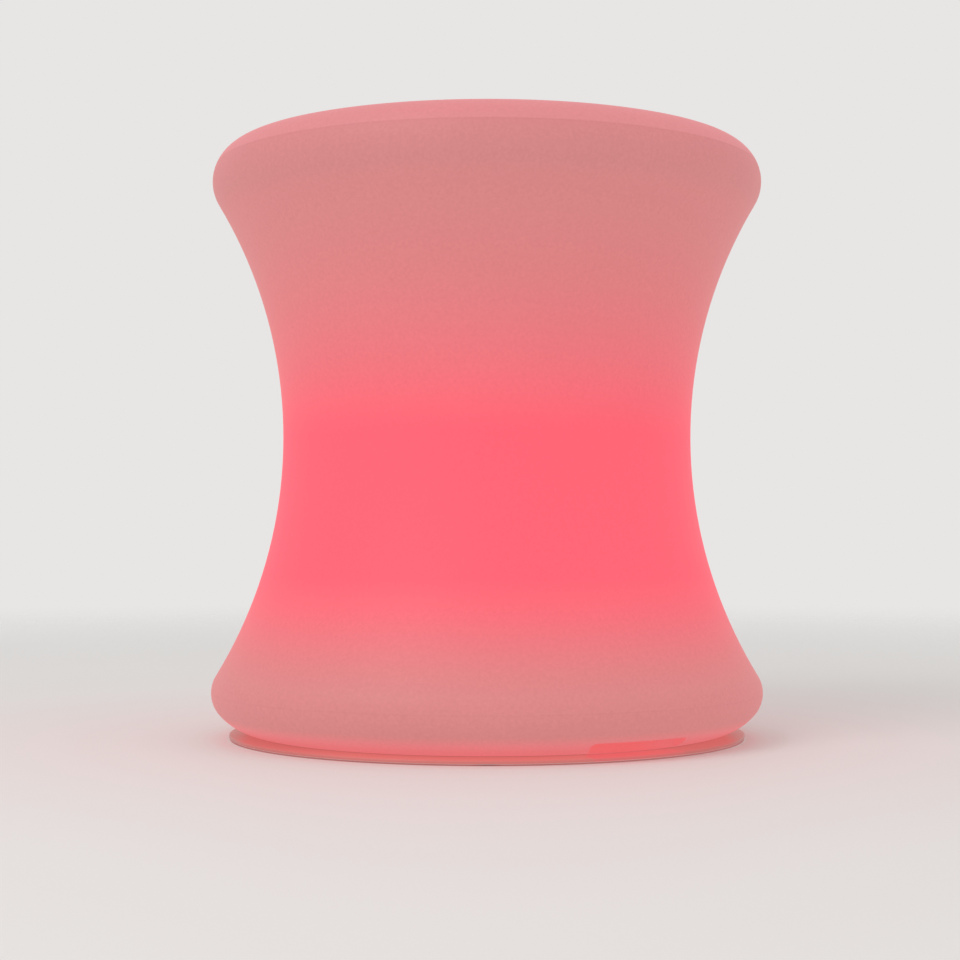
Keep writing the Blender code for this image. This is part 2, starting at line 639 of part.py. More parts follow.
def make_housing(finish):
    chamfer = FLANGE_CHAMFER
    outline = [
        (0, DISH_UNDER),
        (DISH_RADIUS, DISH_UNDER),
        (DISH_RADIUS + DISH_DRAFT, HOUSING_FLANGE_LOW),
        (HOUSING_FLANGE_RADIUS - chamfer, HOUSING_FLANGE_LOW),
        (HOUSING_FLANGE_RADIUS, HOUSING_FLANGE_LOW + chamfer),
        (HOUSING_FLANGE_RADIUS, HOUSING_FLANGE_TOP),
        (HOUSING_RADIUS, HOUSING_FLANGE_TOP),
        (HOUSING_RADIUS, HOUSING_TOP),
        (HOUSING_BORE_RADIUS, HOUSING_TOP),
        (HOUSING_BORE_RADIUS, HOUSING_FLANGE_TOP),
        (DISH_RADIUS + DISH_FLOOR + DISH_DRAFT, HOUSING_FLANGE_TOP),
        (DISH_RADIUS + DISH_FLOOR, DISH_TOP),
        (0, DISH_TOP),
    ]
    housing = piece("lamp_housing", spun(outline, HOUSING_SEGMENTS), finish)

    cradle_places = [(-CRADLE_POST_X, 0), (CRADLE_POST_X, 0)]
    lamp_places = around(LAMP_POST_CIRCLE, LAMP_POSTS, CONTROL_POST_TURN)
    control_places = around(CONTROL_POST_CIRCLE, CONTROL_POSTS, CONTROL_POST_TURN)
    posts = [
        (cradle_places, HOUSING_FLANGE_TOP, CRADLE_LOW - SEAT_GAP),
        (lamp_places, HOUSING_FLANGE_TOP, LAMP_BOARD_LOW - SEAT_GAP),
        (control_places, DISH_TOP, CONTROL_LOW - SEAT_GAP),
    ]
    raised = flap_ears()
    sunk = []
    for places, floor, top in posts:
        post = rod(POST_RADIUS, floor - FUSE, top)
        pilot = rod(TAP_HOLE_RADIUS, top + BOARD_THICKNESS - TAP_LENGTH, top + OVERRUN)
        raised += [spun(post, HOLE_SEGMENTS, (*place, 0)) for place in places]
        sunk += [spun(pilot, SCREW_SEGMENTS, (*place, 0)) for place in places]
    fuse(housing, tool("housing_posts", gathered(raised)))

    for side, cap in ((-1, POWER_CAP_RADIUS), (1, MODE_CAP_RADIUS)):
        hole = rod(cap + SEAT_GAP, DISH_UNDER - OVERRUN, DISH_TOP + OVERRUN)
        sunk.append(spun(hole, BUTTON_SEGMENTS, (side * BUTTON_X, BUTTON_Y, 0)))
    nose = rod(SOCKET_NOSE_RADIUS + SEAT_GAP, DISH_UNDER - OVERRUN, DISH_TOP + OVERRUN)
    sunk.append(spun(nose, BUTTON_SEGMENTS, (0, SOCKET_Y, 0)))
    counterbore_top = LAMP_SCREW_SEAT + SEAT_GAP
    screw_hole = [
        (0, HOUSING_FLANGE_LOW - OVERRUN),
        (TAP_HEAD_RADIUS + SEAT_GAP, HOUSING_FLANGE_LOW - OVERRUN),
        (TAP_HEAD_RADIUS + SEAT_GAP, counterbore_top),
        (TAP_HOLE_RADIUS, counterbore_top),
        (TAP_HOLE_RADIUS, HOUSING_FLANGE_TOP + OVERRUN),
        (0, HOUSING_FLANGE_TOP + OVERRUN),
    ]
    for place in around(LAMP_SCREW_CIRCLE, LAMP_SCREWS, BASE_SCREW_TURN):
        sunk.append(spun(screw_hole, HOLE_SEGMENTS, (*place, 0)))
    hinge_hole = rod(TRUNNION_RADIUS + SEAT_GAP, -EAR_GAP - TRUNNION_LENGTH, EAR_GAP + TRUNNION_LENGTH)
    sunk.append(lying(spun(hinge_hole, SCREW_SEGMENTS), (0, FLAP_HINGE_Y, FLAP_HINGE_HEIGHT)))
    cut(housing, tool("housing_holes", gathered(sunk)))


def make_housing_gasket(finish):
    inner = LAMP_HOLE_RADIUS + SEAT_GAP
    ring = tube(inner, inner + HOUSING_GASKET_WIDTH, HOUSING_GASKET_LOW, HOUSING_GASKET_TOP)
    piece("housing_gasket", spun(ring, HOUSING_SEGMENTS), finish)


def make_small_screws(steel):
    """The lamp's own screws: up into the base plate, and down into the posts inside the cup."""
    outline = screw_outline(TAP_SHANK_RADIUS, LAMP_SCREW_LENGTH, TAP_HEAD_RADIUS, TAP_HEAD_HEIGHT)
    places = around(LAMP_SCREW_CIRCLE, LAMP_SCREWS, BASE_SCREW_TURN)
    copies("lamp_screw", spun(outline, SCREW_SEGMENTS), steel, places, LAMP_SCREW_SEAT)

    rows = [
        ("control_screw", around(CONTROL_POST_CIRCLE, CONTROL_POSTS, CONTROL_POST_TURN), CONTROL_TOP),
        ("cradle_screw", [(-CRADLE_POST_X, 0), (CRADLE_POST_X, 0)], CRADLE_LOW + CRADLE_EAR_THICKNESS),
        ("board_screw", around(LAMP_POST_CIRCLE, LAMP_POSTS, CONTROL_POST_TURN), LAMP_BOARD_TOP),
    ]
    for name, places, face in rows:
        outline = screw_outline(TAP_SHANK_RADIUS, TAP_LENGTH, TAP_HEAD_RADIUS, TAP_HEAD_HEIGHT)
        shape = spun(turned_over(outline), SCREW_SEGMENTS)
        copies(name, shape, steel, places, face + SEAT_GAP)


def make_button(name, cap, side, finish):
    """A cap through the dish floor, a flange that stops it there, and a stem into the switch."""
    flange = DISH_FLOOR + SEAT_GAP
    flange_top = flange + BUTTON_FLANGE_THICKNESS
    outline = [
        (0, -BUTTON_PROUD),
        (cap - BUTTON_CHAMFER, -BUTTON_PROUD),
        (cap, BUTTON_CHAMFER - BUTTON_PROUD),
        (cap, flange),
        (cap + BUTTON_FLANGE, flange),
        (cap + BUTTON_FLANGE, flange_top),
        (STEM_RADIUS, flange_top),
        (STEM_RADIUS, STEM_TOP - DISH_UNDER),
        (0, STEM_TOP - DISH_UNDER),
    ]
    piece(name, spun(outline, BUTTON_SEGMENTS), finish, (side * BUTTON_X, BUTTON_Y, DISH_UNDER))


def make_switch(name, side, finish):
    place = (side * BUTTON_X, BUTTON_Y)
    half = SWITCH_WIDTH / 2
    body = slab(half, half, SWITCH_LOW, SWITCH_TOP, SWITCH_CORNER, steps=1, place=place)
    switch = piece(name, body, finish)
    bore = rod(STEM_RADIUS + SEAT_GAP, SWITCH_LOW - OVERRUN, SWITCH_TOP - SWITCH_FLOOR)
    cut(switch, tool(name + "_bore", spun(bore, HOLE_SEGMENTS, (*place, 0))))


def make_socket(finish):
    """A round socket: its nose stands in the dish floor, and its pin stands in the bore."""
    mouth = DISH_UNDER - SEAT_GAP
    low = DISH_TOP + SEAT_GAP
    top = CONTROL_LOW - SEAT_GAP
    place = (0, SOCKET_Y)
    body = slab(SOCKET_WIDTH / 2, SOCKET_LENGTH / 2, low, top, SWITCH_CORNER, steps=1, place=place)
    socket = piece("charging_socket", body, finish)
    nose = rod(SOCKET_NOSE_RADIUS, mouth, low + FUSE)
    fuse(socket, tool("socket_nose", spun(nose, BUTTON_SEGMENTS, (*place, 0))))
    bore = [
        (0, mouth - OVERRUN),
        (SOCKET_BORE_RADIUS, mouth - OVERRUN),
        (SOCKET_BORE_RADIUS, top - SOCKET_BACK),
        (SOCKET_PIN_RADIUS, top - SOCKET_BACK),
        (SOCKET_PIN_RADIUS, mouth + SOCKET_PIN_SETBACK),
        (0, mouth + SOCKET_PIN_SETBACK),
    ]
    cut(socket, tool("socket_bore", spun(bore, HOLE_SEGMENTS, (*place, 0))))


def make_flap(finish):
    """The rubber flap over the socket. Its origin is on its hinge axis."""
    disc_top = DISH_UNDER - 2 * SEAT_GAP - FLAP_HINGE_HEIGHT
    disc_low = disc_top - FLAP_THICKNESS
    disc_y = -FLAP_REACH
    flap = piece(
        "socket_flap",
        spun(rod(FLAP_RADIUS, disc_low, disc_top), BUTTON_SEGMENTS, (0, disc_y, 0)),
        finish,
        (0, FLAP_HINGE_Y, FLAP_HINGE_HEIGHT),
    )
    low, high = disc_low + SEAT_GAP, disc_top - SEAT_GAP
    arm = slab(FLAP_ARM_WIDTH / 2, FLAP_REACH / 2, low, high, place=(0, disc_y / 2))
    tab_reach = FLAP_RADIUS + FLAP_TAB_LENGTH
    tab_place = (0, disc_y - tab_reach / 2)
    tab = slab(FLAP_ARM_WIDTH / 2, tab_reach / 2, low, high, FLAP_ARM_WIDTH / 4, place=tab_place)
    half = KNUCKLE_WIDTH / 2
    reach = half + TRUNNION_LENGTH
    knuckle = [
        (0, -reach),
        (TRUNNION_RADIUS, -reach),
        (TRUNNION_RADIUS, -half),
        (KNUCKLE_RADIUS, -half),
        (KNUCKLE_RADIUS, half),
        (TRUNNION_RADIUS, half),
        (TRUNNION_RADIUS, reach),
        (0, reach),
    ]
    barrel = lying(spun(knuckle, HOLE_SEGMENTS), (0, 0, 0))
    for name, shape in (("flap_arm", arm), ("flap_tab", tab), ("flap_knuckle", barrel)):
        part = tool(name, shape)
        part.parent = flap
        fuse(flap, part)


def make_control_board(finish):
    disc = rod(CONTROL_BOARD_RADIUS, CONTROL_LOW, CONTROL_TOP)
    board = piece("control_board", spun(disc, HOUSING_SEGMENTS), finish)
    hole = rod(TAP_HOLE_RADIUS, CONTROL_LOW - OVERRUN, CONTROL_TOP + OVERRUN)
    places = around(CONTROL_POST_CIRCLE, CONTROL_POSTS, CONTROL_POST_TURN)
    holes = [spun(hole, SCREW_SEGMENTS, (*place, 0)) for place in places]
    cut(board, tool("control_board_holes", gathered(holes)))


def make_cradle(finish):
    """A tray with a round channel for each cell and an ear at each end."""
    cradle = piece(
        "battery_cradle", slab(CRADLE_HALF_LENGTH, CRADLE_HALF_WIDTH, CRADLE_LOW, CRADLE_TOP), finish
    )
    ear_reach = (CRADLE_EAR_REACH + FUSE) / 2
    ear_middle = CRADLE_EAR_END - ear_reach
    ears = []
    for side in (-1, 1):
        ears.append(
            slab(
                ear_reach,
                CRADLE_EAR_WIDTH / 2,
                CRADLE_LOW,
                CRADLE_LOW + CRADLE_EAR_THICKNESS,
                place=(side * ear_middle, 0),
            )
        )
    fuse(cradle, tool("cradle_ears", gathered(ears)))
    reach = CELL_LENGTH / 2 + SEAT_GAP
    channel = rod(CHANNEL_RADIUS, -reach, reach)
    cuts = []
    for side in (-1, 1):
        place = (0, side * CELL_SPACING / 2, CELL_HEIGHT)
        cuts.append(lying(spun(channel, CELL_SEGMENTS), place))
        hole = rod(TAP_HOLE_RADIUS, CRADLE_LOW - OVERRUN, CRADLE_LOW + CRADLE_EAR_THICKNESS + OVERRUN)
        cuts.append(spun(hole, SCREW_SEGMENTS, (side * CRADLE_POST_X, 0, 0)))
    cut(cradle, tool("cradle_cuts", gathered(cuts)))


def make_cells(finish):
    half = CELL_LENGTH / 2
    crimp = CELL_CRIMP
    cap = CELL_RADIUS / 2
    outline = [
        (0, -half),
        (CELL_RADIUS - crimp, -half),
        (CELL_RADIUS, crimp - half),
        (CELL_RADIUS, half - 2 * crimp),
        (CELL_RADIUS - crimp, half - crimp),
        (cap, half - crimp),
        (cap, half),
        (0, half),
    ]
    for index, side in enumerate((-1, 1), start=1):
        cell = lying(spun(outline, CELL_SEGMENTS), (0, 0, 0))
        piece(f"battery_cell_{index}", cell, finish, (0, side * CELL_SPACING / 2, CELL_HEIGHT))


def make_strap(finish):
    """A band bent over both cells and down the sides of the cradle."""
    inner = CRADLE_HALF_WIDTH + SEAT_GAP
    outer = inner + STRAP_THICKNESS
    ceiling = CELL_TOP + SEAT_GAP
    low = CRADLE_TOP - STRAP_LAP
    bend = STRAP_BEND
    band = [(-outer, low)]
    band += arc((bend - outer, ceiling + STRAP_THICKNESS - bend), bend, math.pi, math.pi / 2, 3)
    band += arc((outer - bend, ceiling + STRAP_THICKNESS - bend), bend, math.pi / 2, 0, 3)
    band += [(outer, low), (inner, low)]
    tight = bend - STRAP_THICKNESS
    band += arc((outer - bend, ceiling + STRAP_THICKNESS - bend), tight, 0, math.pi / 2, 3)
    band += arc((bend - outer, ceiling + STRAP_THICKNESS - bend), tight, math.pi / 2, math.pi, 3)
    band.append((-inner, low))
    shape = bmesh.new()
    start = -STRAP_WIDTH / 2
    face = shape.faces.new([shape.verts.new((start, y, z)) for y, z in band])
    grown = bmesh.ops.extrude_face_region(shape, geom=[face])
    moved = [item for item in grown["geom"] if isinstance(item, bmesh.types.BMVert)]
    bmesh.ops.translate(shape, verts=moved, vec=(STRAP_WIDTH, 0, 0))
    bmesh.ops.recalc_face_normals(shape, faces=shape.faces)
    piece("battery_strap", shape, finish)


def make_lamp_board(finish):
    disc = rod(LAMP_BOARD_RADIUS, LAMP_BOARD_LOW, LAMP_BOARD_TOP)
    board = piece("lamp_board", spun(disc, HOUSING_SEGMENTS), finish)
    hole = rod(TAP_HOLE_RADIUS, LAMP_BOARD_LOW - OVERRUN, LAMP_BOARD_TOP + OVERRUN)
    places = around(LAMP_POST_CIRCLE, LAMP_POSTS, CONTROL_POST_TURN)
    holes = [spun(hole, SCREW_SEGMENTS, (*place, 0)) for place in places]
    cut(board, tool("lamp_board_holes", gathered(holes)))


def make_leds(finish):
    low = LAMP_BOARD_TOP + SEAT_GAP
    body = slab(LED_WIDTH / 2, LED_WIDTH / 2, 0, LED_HEIGHT, LED_CORNER, steps=1)
    copies("led", body, finish, around(LED_CIRCLE, LEDS), low)


def make_sensor(finish):
    low = LAMP_BOARD_TOP + SEAT_GAP
    body = slab(SENSOR_WIDTH / 2, SENSOR_DEPTH / 2, low, low + SENSOR_HEIGHT, SENSOR_CORNER)
    piece("remote_sensor", body, finish)


def make_dome(finish):
    """A shallow dome with a flange on the cup's mouth and a grooved skirt inside it."""
    flange_low = HOUSING_TOP + SEAT_GAP
    flange_top = flange_low + DOME_FLANGE_THICKNESS
    skirt = HOUSING_BORE_RADIUS - SEAT_GAP
    skirt_low = flange_low - DOME_SKIRT_DEPTH
    inner = skirt - DOME_SKIRT_WALL
    seal_height = seal_centre()[1]
    groove = SEAL_RADIUS + SEAT_GAP
    quarter = [math.pi / 2 * step / DOME_STEPS for step in range(DOME_STEPS + 1)]
    outline = [(skirt, skirt_low), (skirt, seal_height - groove)]
    outline += [(seal_centre()[0] - groove, seal_height - groove)]
    outline += [(seal_centre()[0] - groove, seal_height + groove), (skirt, seal_height + groove)]
    outline += [(skirt, flange_low), (HOUSING_RADIUS, flange_low), (HOUSING_RADIUS, flange_top)]
    outline += [
        (skirt * math.cos(turn), flange_top + (DOME_HEIGHT - DOME_FLANGE_THICKNESS) * math.sin(turn))
        for turn in quarter[:-1]
    ]
    outline.append((0, flange_low + DOME_HEIGHT))
    outline.append((0, flange_low + DOME_HEIGHT - DOME_WALL))
    hollow = DOME_HEIGHT - DOME_WALL
    outline += [
        (inner * math.cos(turn), flange_low + hollow * math.sin(turn)) for turn in reversed(quarter[:-1])
    ]
    outline.append((inner, skirt_low))
    piece("diffuser_dome", spun(outline, DOME_SEGMENTS), finish)


def seal_centre():
    """Middle of the seal's section, as (radius, height)."""
    radius = HOUSING_BORE_RADIUS - SEAT_GAP - SEAL_RADIUS
    height = HOUSING_TOP + SEAT_GAP - DOME_SKIRT_DEPTH / 2
    return radius, height


def make_dome_seal(finish):
    section = arc(seal_centre(), SEAL_RADIUS, 0, 2 * math.pi, 6)[:-1]
    piece("dome_seal", spun(section, DOME_SEGMENTS), finish)


def smooth_route(route, count):
    """Points of an even curve through the route's own points, straight out of both ends."""
    padded = [route[0]] + route + [route[-1]]
    spans = len(route) - 1
    points = []
    for index in range(count):
        at = spans * index / (count - 1)
        span = min(int(at), spans - 1)
        share = at - span
        before, start, end, after = padded[span : span + 4]
        point = []
        for axis in range(3):
            slope_in = (end[axis] - before[axis]) / 2
            slope_out = (after[axis] - start[axis]) / 2
            rise = end[axis] - start[axis]
            bend = 3 * rise - 2 * slope_in - slope_out + (slope_in + slope_out - 2 * rise) * share
            point.append(start[axis] + share * (slope_in + share * bend))
        points.append(point)
    return points


def make_lead(name, route, finish):
    curve = bpy.data.curves.new(name, "CURVE")
    curve.dimensions = "3D"
    curve.bevel_depth = LEAD_RADIUS
    curve.bevel_resolution = 1
    curve.use_fill_caps = True
    points = smooth_route(route, LEAD_POINTS)
    spline = curve.splines.new("POLY")
    spline.points.add(len(points) - 1)
    for point, place in zip(spline.points, points):
        point.co = (*place, 1)
    curve.materials.append(finish)
    obj = bpy.data.objects.new(name, curve)
    bpy.context.scene.collection.objects.link(obj)


def make_leads(finish):
    """One lead from the cells down to the control board, and one from there up to the lamp board."""
    cell_y = CELL_SPACING / 2
    pad_x = CONTROL_BOARD_RADIUS - 3 * LEAD_RADIUS
    board = CONTROL_TOP + 2 * SEAT_GAP
    end = CRADLE_HALF_LENGTH + SEAT_GAP
    out = end + LEAD_ROOM
    exit_height = CRADLE_LOW + LEAD_ROOM
    make_lead(
        "battery_lead",
        [
            (end, cell_y, exit_height),
            (end + 2 * LEAD_RADIUS, cell_y, exit_height),
            (out, cell_y, exit_height - LEAD_ROOM / 2),
            (out - LEAD_RADIUS, cell_y, board + 4 * LEAD_RADIUS),
            (pad_x, cell_y, board + 3 * LEAD_RADIUS),
            (pad_x - 2 * LEAD_RADIUS, cell_y, board + LEAD_RADIUS),
            (pad_x - 2 * LEAD_RADIUS, cell_y, board),
        ],
        finish,
    )
    under = LAMP_BOARD_LOW - 2 * SEAT_GAP
    make_lead(
        "lamp_lead",
        [
            (-pad_x, -cell_y, board),
            (-pad_x, -cell_y, board + 2 * LEAD_RADIUS),
            (-out + LEAD_RADIUS, -cell_y, CRADLE_LOW),
            (-out, -cell_y, CELL_HEIGHT),
            (-out, -cell_y, under - LEAD_ROOM),
            (LEAD_RADIUS - out, -cell_y, under - 2 * LEAD_RADIUS),
            (LEAD_RADIUS - out, -cell_y, under),
        ],
        finish,
    )


def main():
    clear_scene()
    white = make_finish("white_moulded_plastic", (0.82, 0.80, 0.79), 0.45)
    lamp_white = make_finish("lamp_white_plastic", (0.78, 0.78, 0.77), 0.4)
    rubber = make_finish("grey_rubber", (0.20, 0.20, 0.20), 0.8)
    silicone = make_finish("clear_grey_silicone", (0.42, 0.42, 0.42), 0.6)
    steel = make_finish("zinc_plated_steel", (0.62, 0.62, 0.60), 0.35, 1.0)
    brass = make_finish("brass", (0.72, 0.53, 0.24), 0.35, 1.0)
    black = make_finish("black_plastic", (0.03, 0.03, 0.03), 0.45)
    board = make_finish("board_green", (0.05, 0.22, 0.10), 0.5)
    board_white = make_finish("board_white", (0.80, 0.80, 0.78), 0.4)

    glow = (1.0, 0.16, 0.20)
    make_shell(make_glow_finish("glowing_body_plastic", (0.86, 0.60, 0.60), 0.42, glow, 0.5))
    make_base_plate(white)
    make_base_gasket(rubber)
    make_pads(make_finish("foot_rubber", (0.12, 0.12, 0.12), 0.85))
    make_base_fasteners(steel, brass)
    make_housing(lamp_white)
    make_housing_gasket(silicone)
    make_small_screws(steel)
    make_button("power_button", POWER_CAP_RADIUS, -1, make_finish("button_red", (0.60, 0.05, 0.05), 0.5))
    make_button("colour_button", MODE_CAP_RADIUS, 1, make_finish("button_grey", (0.35, 0.36, 0.38), 0.5))
    make_switch("power_switch", -1, black)
    make_switch("colour_switch", 1, black)
    make_socket(make_finish("socket_black", (0.02, 0.02, 0.02), 0.35))
    make_flap(make_finish("flap_rubber", (0.06, 0.06, 0.06), 0.7))
    make_control_board(board)
    make_cradle(make_finish("cradle_black", (0.04, 0.04, 0.045), 0.5))
    make_cells(make_finish("cell_sleeve", (0.05, 0.20, 0.42), 0.35))
    make_strap(make_finish("strap_nylon", (0.10, 0.10, 0.11), 0.6))
    make_lamp_board(board_white)
    make_leds(make_glow_finish("light_source", (0.90, 0.75, 0.70), 0.3, glow, 2.0))
    make_sensor(make_finish("sensor_black", (0.02, 0.02, 0.03), 0.2))
    make_dome(make_glow_finish("dome_plastic", (0.90, 0.88, 0.88), 0.25, glow, 0.3))
    make_dome_seal(silicone)
    make_leads(make_finish("lead_sleeve", (0.05, 0.05, 0.05), 0.5))


main()
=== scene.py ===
"""Looks of the light-up stool: the glowing body, finishes for every piece, and a plain studio."""

import json
import math

import bpy
from bpy.props import FloatProperty, FloatVectorProperty, IntProperty, PointerProperty
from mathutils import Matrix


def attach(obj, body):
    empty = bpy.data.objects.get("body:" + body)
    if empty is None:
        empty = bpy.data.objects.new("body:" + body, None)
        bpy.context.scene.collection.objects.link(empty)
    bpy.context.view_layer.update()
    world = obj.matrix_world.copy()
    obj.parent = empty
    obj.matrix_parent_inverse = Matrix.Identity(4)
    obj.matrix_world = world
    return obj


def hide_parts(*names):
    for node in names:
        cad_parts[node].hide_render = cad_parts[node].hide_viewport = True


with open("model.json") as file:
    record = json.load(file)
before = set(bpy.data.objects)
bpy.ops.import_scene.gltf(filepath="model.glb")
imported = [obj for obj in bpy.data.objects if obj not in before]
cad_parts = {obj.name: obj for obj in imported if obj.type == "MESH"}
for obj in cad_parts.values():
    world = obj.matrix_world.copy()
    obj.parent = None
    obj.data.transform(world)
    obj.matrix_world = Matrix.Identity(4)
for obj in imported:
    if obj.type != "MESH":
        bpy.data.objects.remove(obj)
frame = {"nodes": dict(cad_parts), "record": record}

bl_info = {
    "name": "Light-up stool",
    "version": (1, 0, 0),
    "blender": (4, 5, 0),
    "location": "View3D > Sidebar > Stool",
    "description": "Builds the looks of a light-up stool around its packed parts",
    "category": "Object",
}

FINISH_PREFIX = "stool_"

# Fits, as in the part
SEAT_GAP = 0.0003
WELD = 0.00001
FUSE = 0.0008
OVERRUN = 0.002

# Stool body, measured over its outside
STOOL_HEIGHT = 0.430
RIM_RADIUS = 0.200
WAIST_DEPTH = 0.0514
TOP_EDGE_RADIUS = 0.028
LOWER_EDGE_RADIUS = 0.0225
LOWER_EDGE_HEIGHT = 0.0333
UNDER_TURN = math.radians(40)
SHELL_WALL = 0.005
WAIST_RADIUS = RIM_RADIUS - WAIST_DEPTH

# Foot of the body
FOOT_INNER_RADIUS = 0.154
FLANGE_OPENING_RADIUS = 0.130
SHELL_FOOT = 0.0038
FLANGE_UNDER = 0.0135
FLANGE_TOP = FLANGE_UNDER + SHELL_WALL
POCKET_RADIUS = FOOT_INNER_RADIUS + SHELL_WALL
INSERT_HOLE_RADIUS = 0.0035
INSERT_HOLE_TOP = 0.0230
BOSS_RADIUS = 0.0073
BOSS_TOP = 0.0260

# Grip recess under the front right of the rim
GRIP_TURN = math.radians(33)
GRIP_WIDTH = 0.079
GRIP_TOP = 0.0130
GRIP_BACK = 0.170
GRIP_CORNER = 0.004
LINER_LOW = SHELL_FOOT + SHELL_WALL - FUSE
LINER_LOW_RADIUS = 0.1737
LINER_HIGH_RADIUS = 0.190

# Base plate
PLATE_RADIUS = 0.187
PLATE_THICKNESS = 0.0025
PLATE_EDGE_RADIUS = 0.0009
PAD_STAND = 0.0010
LIP_TOP = PAD_STAND + PLATE_THICKNESS
STEP_RADIUS = FOOT_INNER_RADIUS - SEAT_GAP
STEP_DRAFT = 0.0008
WEB_UNDER = 0.0092
WEB_TOP = WEB_UNDER + PLATE_THICKNESS
LAMP_HOLE_RADIUS = 0.0583
RIBS = 8
RIB_WIDTH = 0.0025
RIB_HEIGHT = 0.0050
RIB_INNER_RADIUS = 0.077
RIB_OUTER_RADIUS = 0.131
RIB_RING_RADIUS = (RIB_INNER_RADIUS + RIB_OUTER_RADIUS) / 2

# Foot pads
PADS = 6
PAD_CIRCLE = 0.171
PAD_TURN = math.radians(30)
PAD_RADIUS = 0.010
PAD_THICKNESS = 0.0020
PAD_EDGE = 0.0005
PAD_GROOVES = 3
PAD_GROOVE_DEPTH = 0.00035

# Screws of the base and of the lamp
SCREW_TURN = math.radians(45)
SCREWS = 4
BASE_SCREW_CIRCLE = 0.140
BASE_SHANK_RADIUS = 0.00185
BASE_HEAD_RADIUS = 0.0040
BASE_HEAD_HEIGHT = 0.0024
BASE_SCREW_SEAT = WEB_UNDER - SEAT_GAP
BASE_SCREW_LENGTH = 0.0129
LAMP_SCREW_CIRCLE = 0.067
LAMP_BOSS_RADIUS = 0.0042
LAMP_BOSS_TOP = 0.0189
LAMP_PILOT_TOP = 0.0177
TAP_SHANK_RADIUS = 0.0014
TAP_HOLE_RADIUS = TAP_SHANK_RADIUS + SEAT_GAP
TAP_HEAD_RADIUS = 0.0028
TAP_HEAD_HEIGHT = 0.0016
LAMP_SCREW_SEAT = 0.0055
LAMP_SCREW_LENGTH = 0.0110
CROSS_WIDTH_SHARE = 0.22
CROSS_LENGTH_SHARE = 1.15
CROSS_DEPTH_SHARE = 0.6

# Lamp housing
HOUSING_RADIUS = 0.058
HOUSING_BORE_RADIUS = 0.0555
HOUSING_FLANGE_RADIUS = 0.072
HOUSING_FLANGE_LOW = 0.0036
HOUSING_FLANGE_TOP = 0.0076
HOUSING_TOP = 0.058
HOUSING_EDGE = 0.0012
DISH_RADIUS = 0.038
DISH_UNDER = 0.0096
DISH_TOP = 0.0126
DISH_FLOOR = DISH_TOP - DISH_UNDER
DISH_DRAFT = 0.0020
DISH_EDGE = 0.0008
POST_RADIUS = 0.0032
CRADLE_POST_X = 0.047
CRADLE_POST_TOP = 0.0291
CONTROL_POST_CIRCLE = 0.032
CONTROL_POST_TOP = 0.0217
LAMP_POST_CIRCLE = 0.0475
LAMP_POST_TOP = 0.0522
POST_PILOT_DEPTH = 0.0074
POSTS = 3
POST_TURN = math.radians(90)

# Buttons
BUTTON_X = 0.0160
BUTTON_Y = -0.0080
POWER_CAP_RADIUS = 0.0075
COLOUR_CAP_RADIUS = 0.0062
BUTTON_PROUD = 0.0025
BUTTON_EDGE = 0.0008
BUTTON_HOLLOW = 0.0004
BUTTON_FLANGE = 0.0018
BUTTON_FLANGE_THICKNESS = 0.0012
STEM_RADIUS = 0.0016
STEM_TOP = 0.0197

# Charging socket and its flap
SOCKET_Y = 0.0160
SOCKET_NOSE_RADIUS = 0.0055
SOCKET_BORE_RADIUS = 0.00285
SOCKET_PIN_RADIUS = 0.00105
SOCKET_PIN_SETBACK = 0.0015
SOCKET_BACK = 0.0029
SOCKET_WIDTH = 0.0110
SOCKET_LENGTH = 0.0130
SOCKET_MOUTH = DISH_UNDER - SEAT_GAP
SOCKET_LOW = DISH_TOP + SEAT_GAP
SOCKET_TOP = 0.0217
FLAP_RADIUS = 0.0080
FLAP_THICKNESS = 0.0015
FLAP_EDGE = 0.0004
FLAP_REACH = 0.0115
FLAP_ARM_WIDTH = 0.0050
FLAP_TAB_LENGTH = 0.0022
KNUCKLE_RADIUS = 0.0016
KNUCKLE_WIDTH = 0.0060
TRUNNION_RADIUS = 0.0008
TRUNNION_LENGTH = 0.0015
FLAP_HINGE_Y = SOCKET_Y + FLAP_REACH
FLAP_HINGE_HEIGHT = 0.0077
EAR_GAP = KNUCKLE_WIDTH / 2 + SEAT_GAP
EAR_THICKNESS = 0.0022
EAR_RADIUS = 0.0022

# Fineness of turned pieces
TURN_SEGMENTS = 192
SMALL_SEGMENTS = 64
EDGE_STEPS = 20
FLANK_STEPS = 40
UNDER_STEPS = 14
CORNER_STEPS = 8
ROUND_STEPS = 5
TURN_CIRCLE = 0.01
SMALL_CIRCLE = 0.0005
SMOOTH_ANGLE = math.radians(35)

# Inputs of the geometry trees that aren't plain numbers
INPUT_KINDS = {
    "Geometry": "Geometry",
    "Segments": "Int",
    "Ribs": "Int",
    "Pads": "Int",
    "Place": "Vector",
    "Material": "Material",
}
GRIP_INPUTS = ("Grip Turn", "Grip Width", "Grip Top", "Grip Back")

# Light that the lamp throws on the wall
LIGHT_HEIGHT = 0.145
LIGHT_GAIN = 1.4
FOOT_SHADE_LOW = 0.010
FOOT_SHADE_HIGH = 0.100
# Heights of the band of painted shade under the rim
UNDER_LOW = 0.0105
UNDER_HIGH = 0.0205
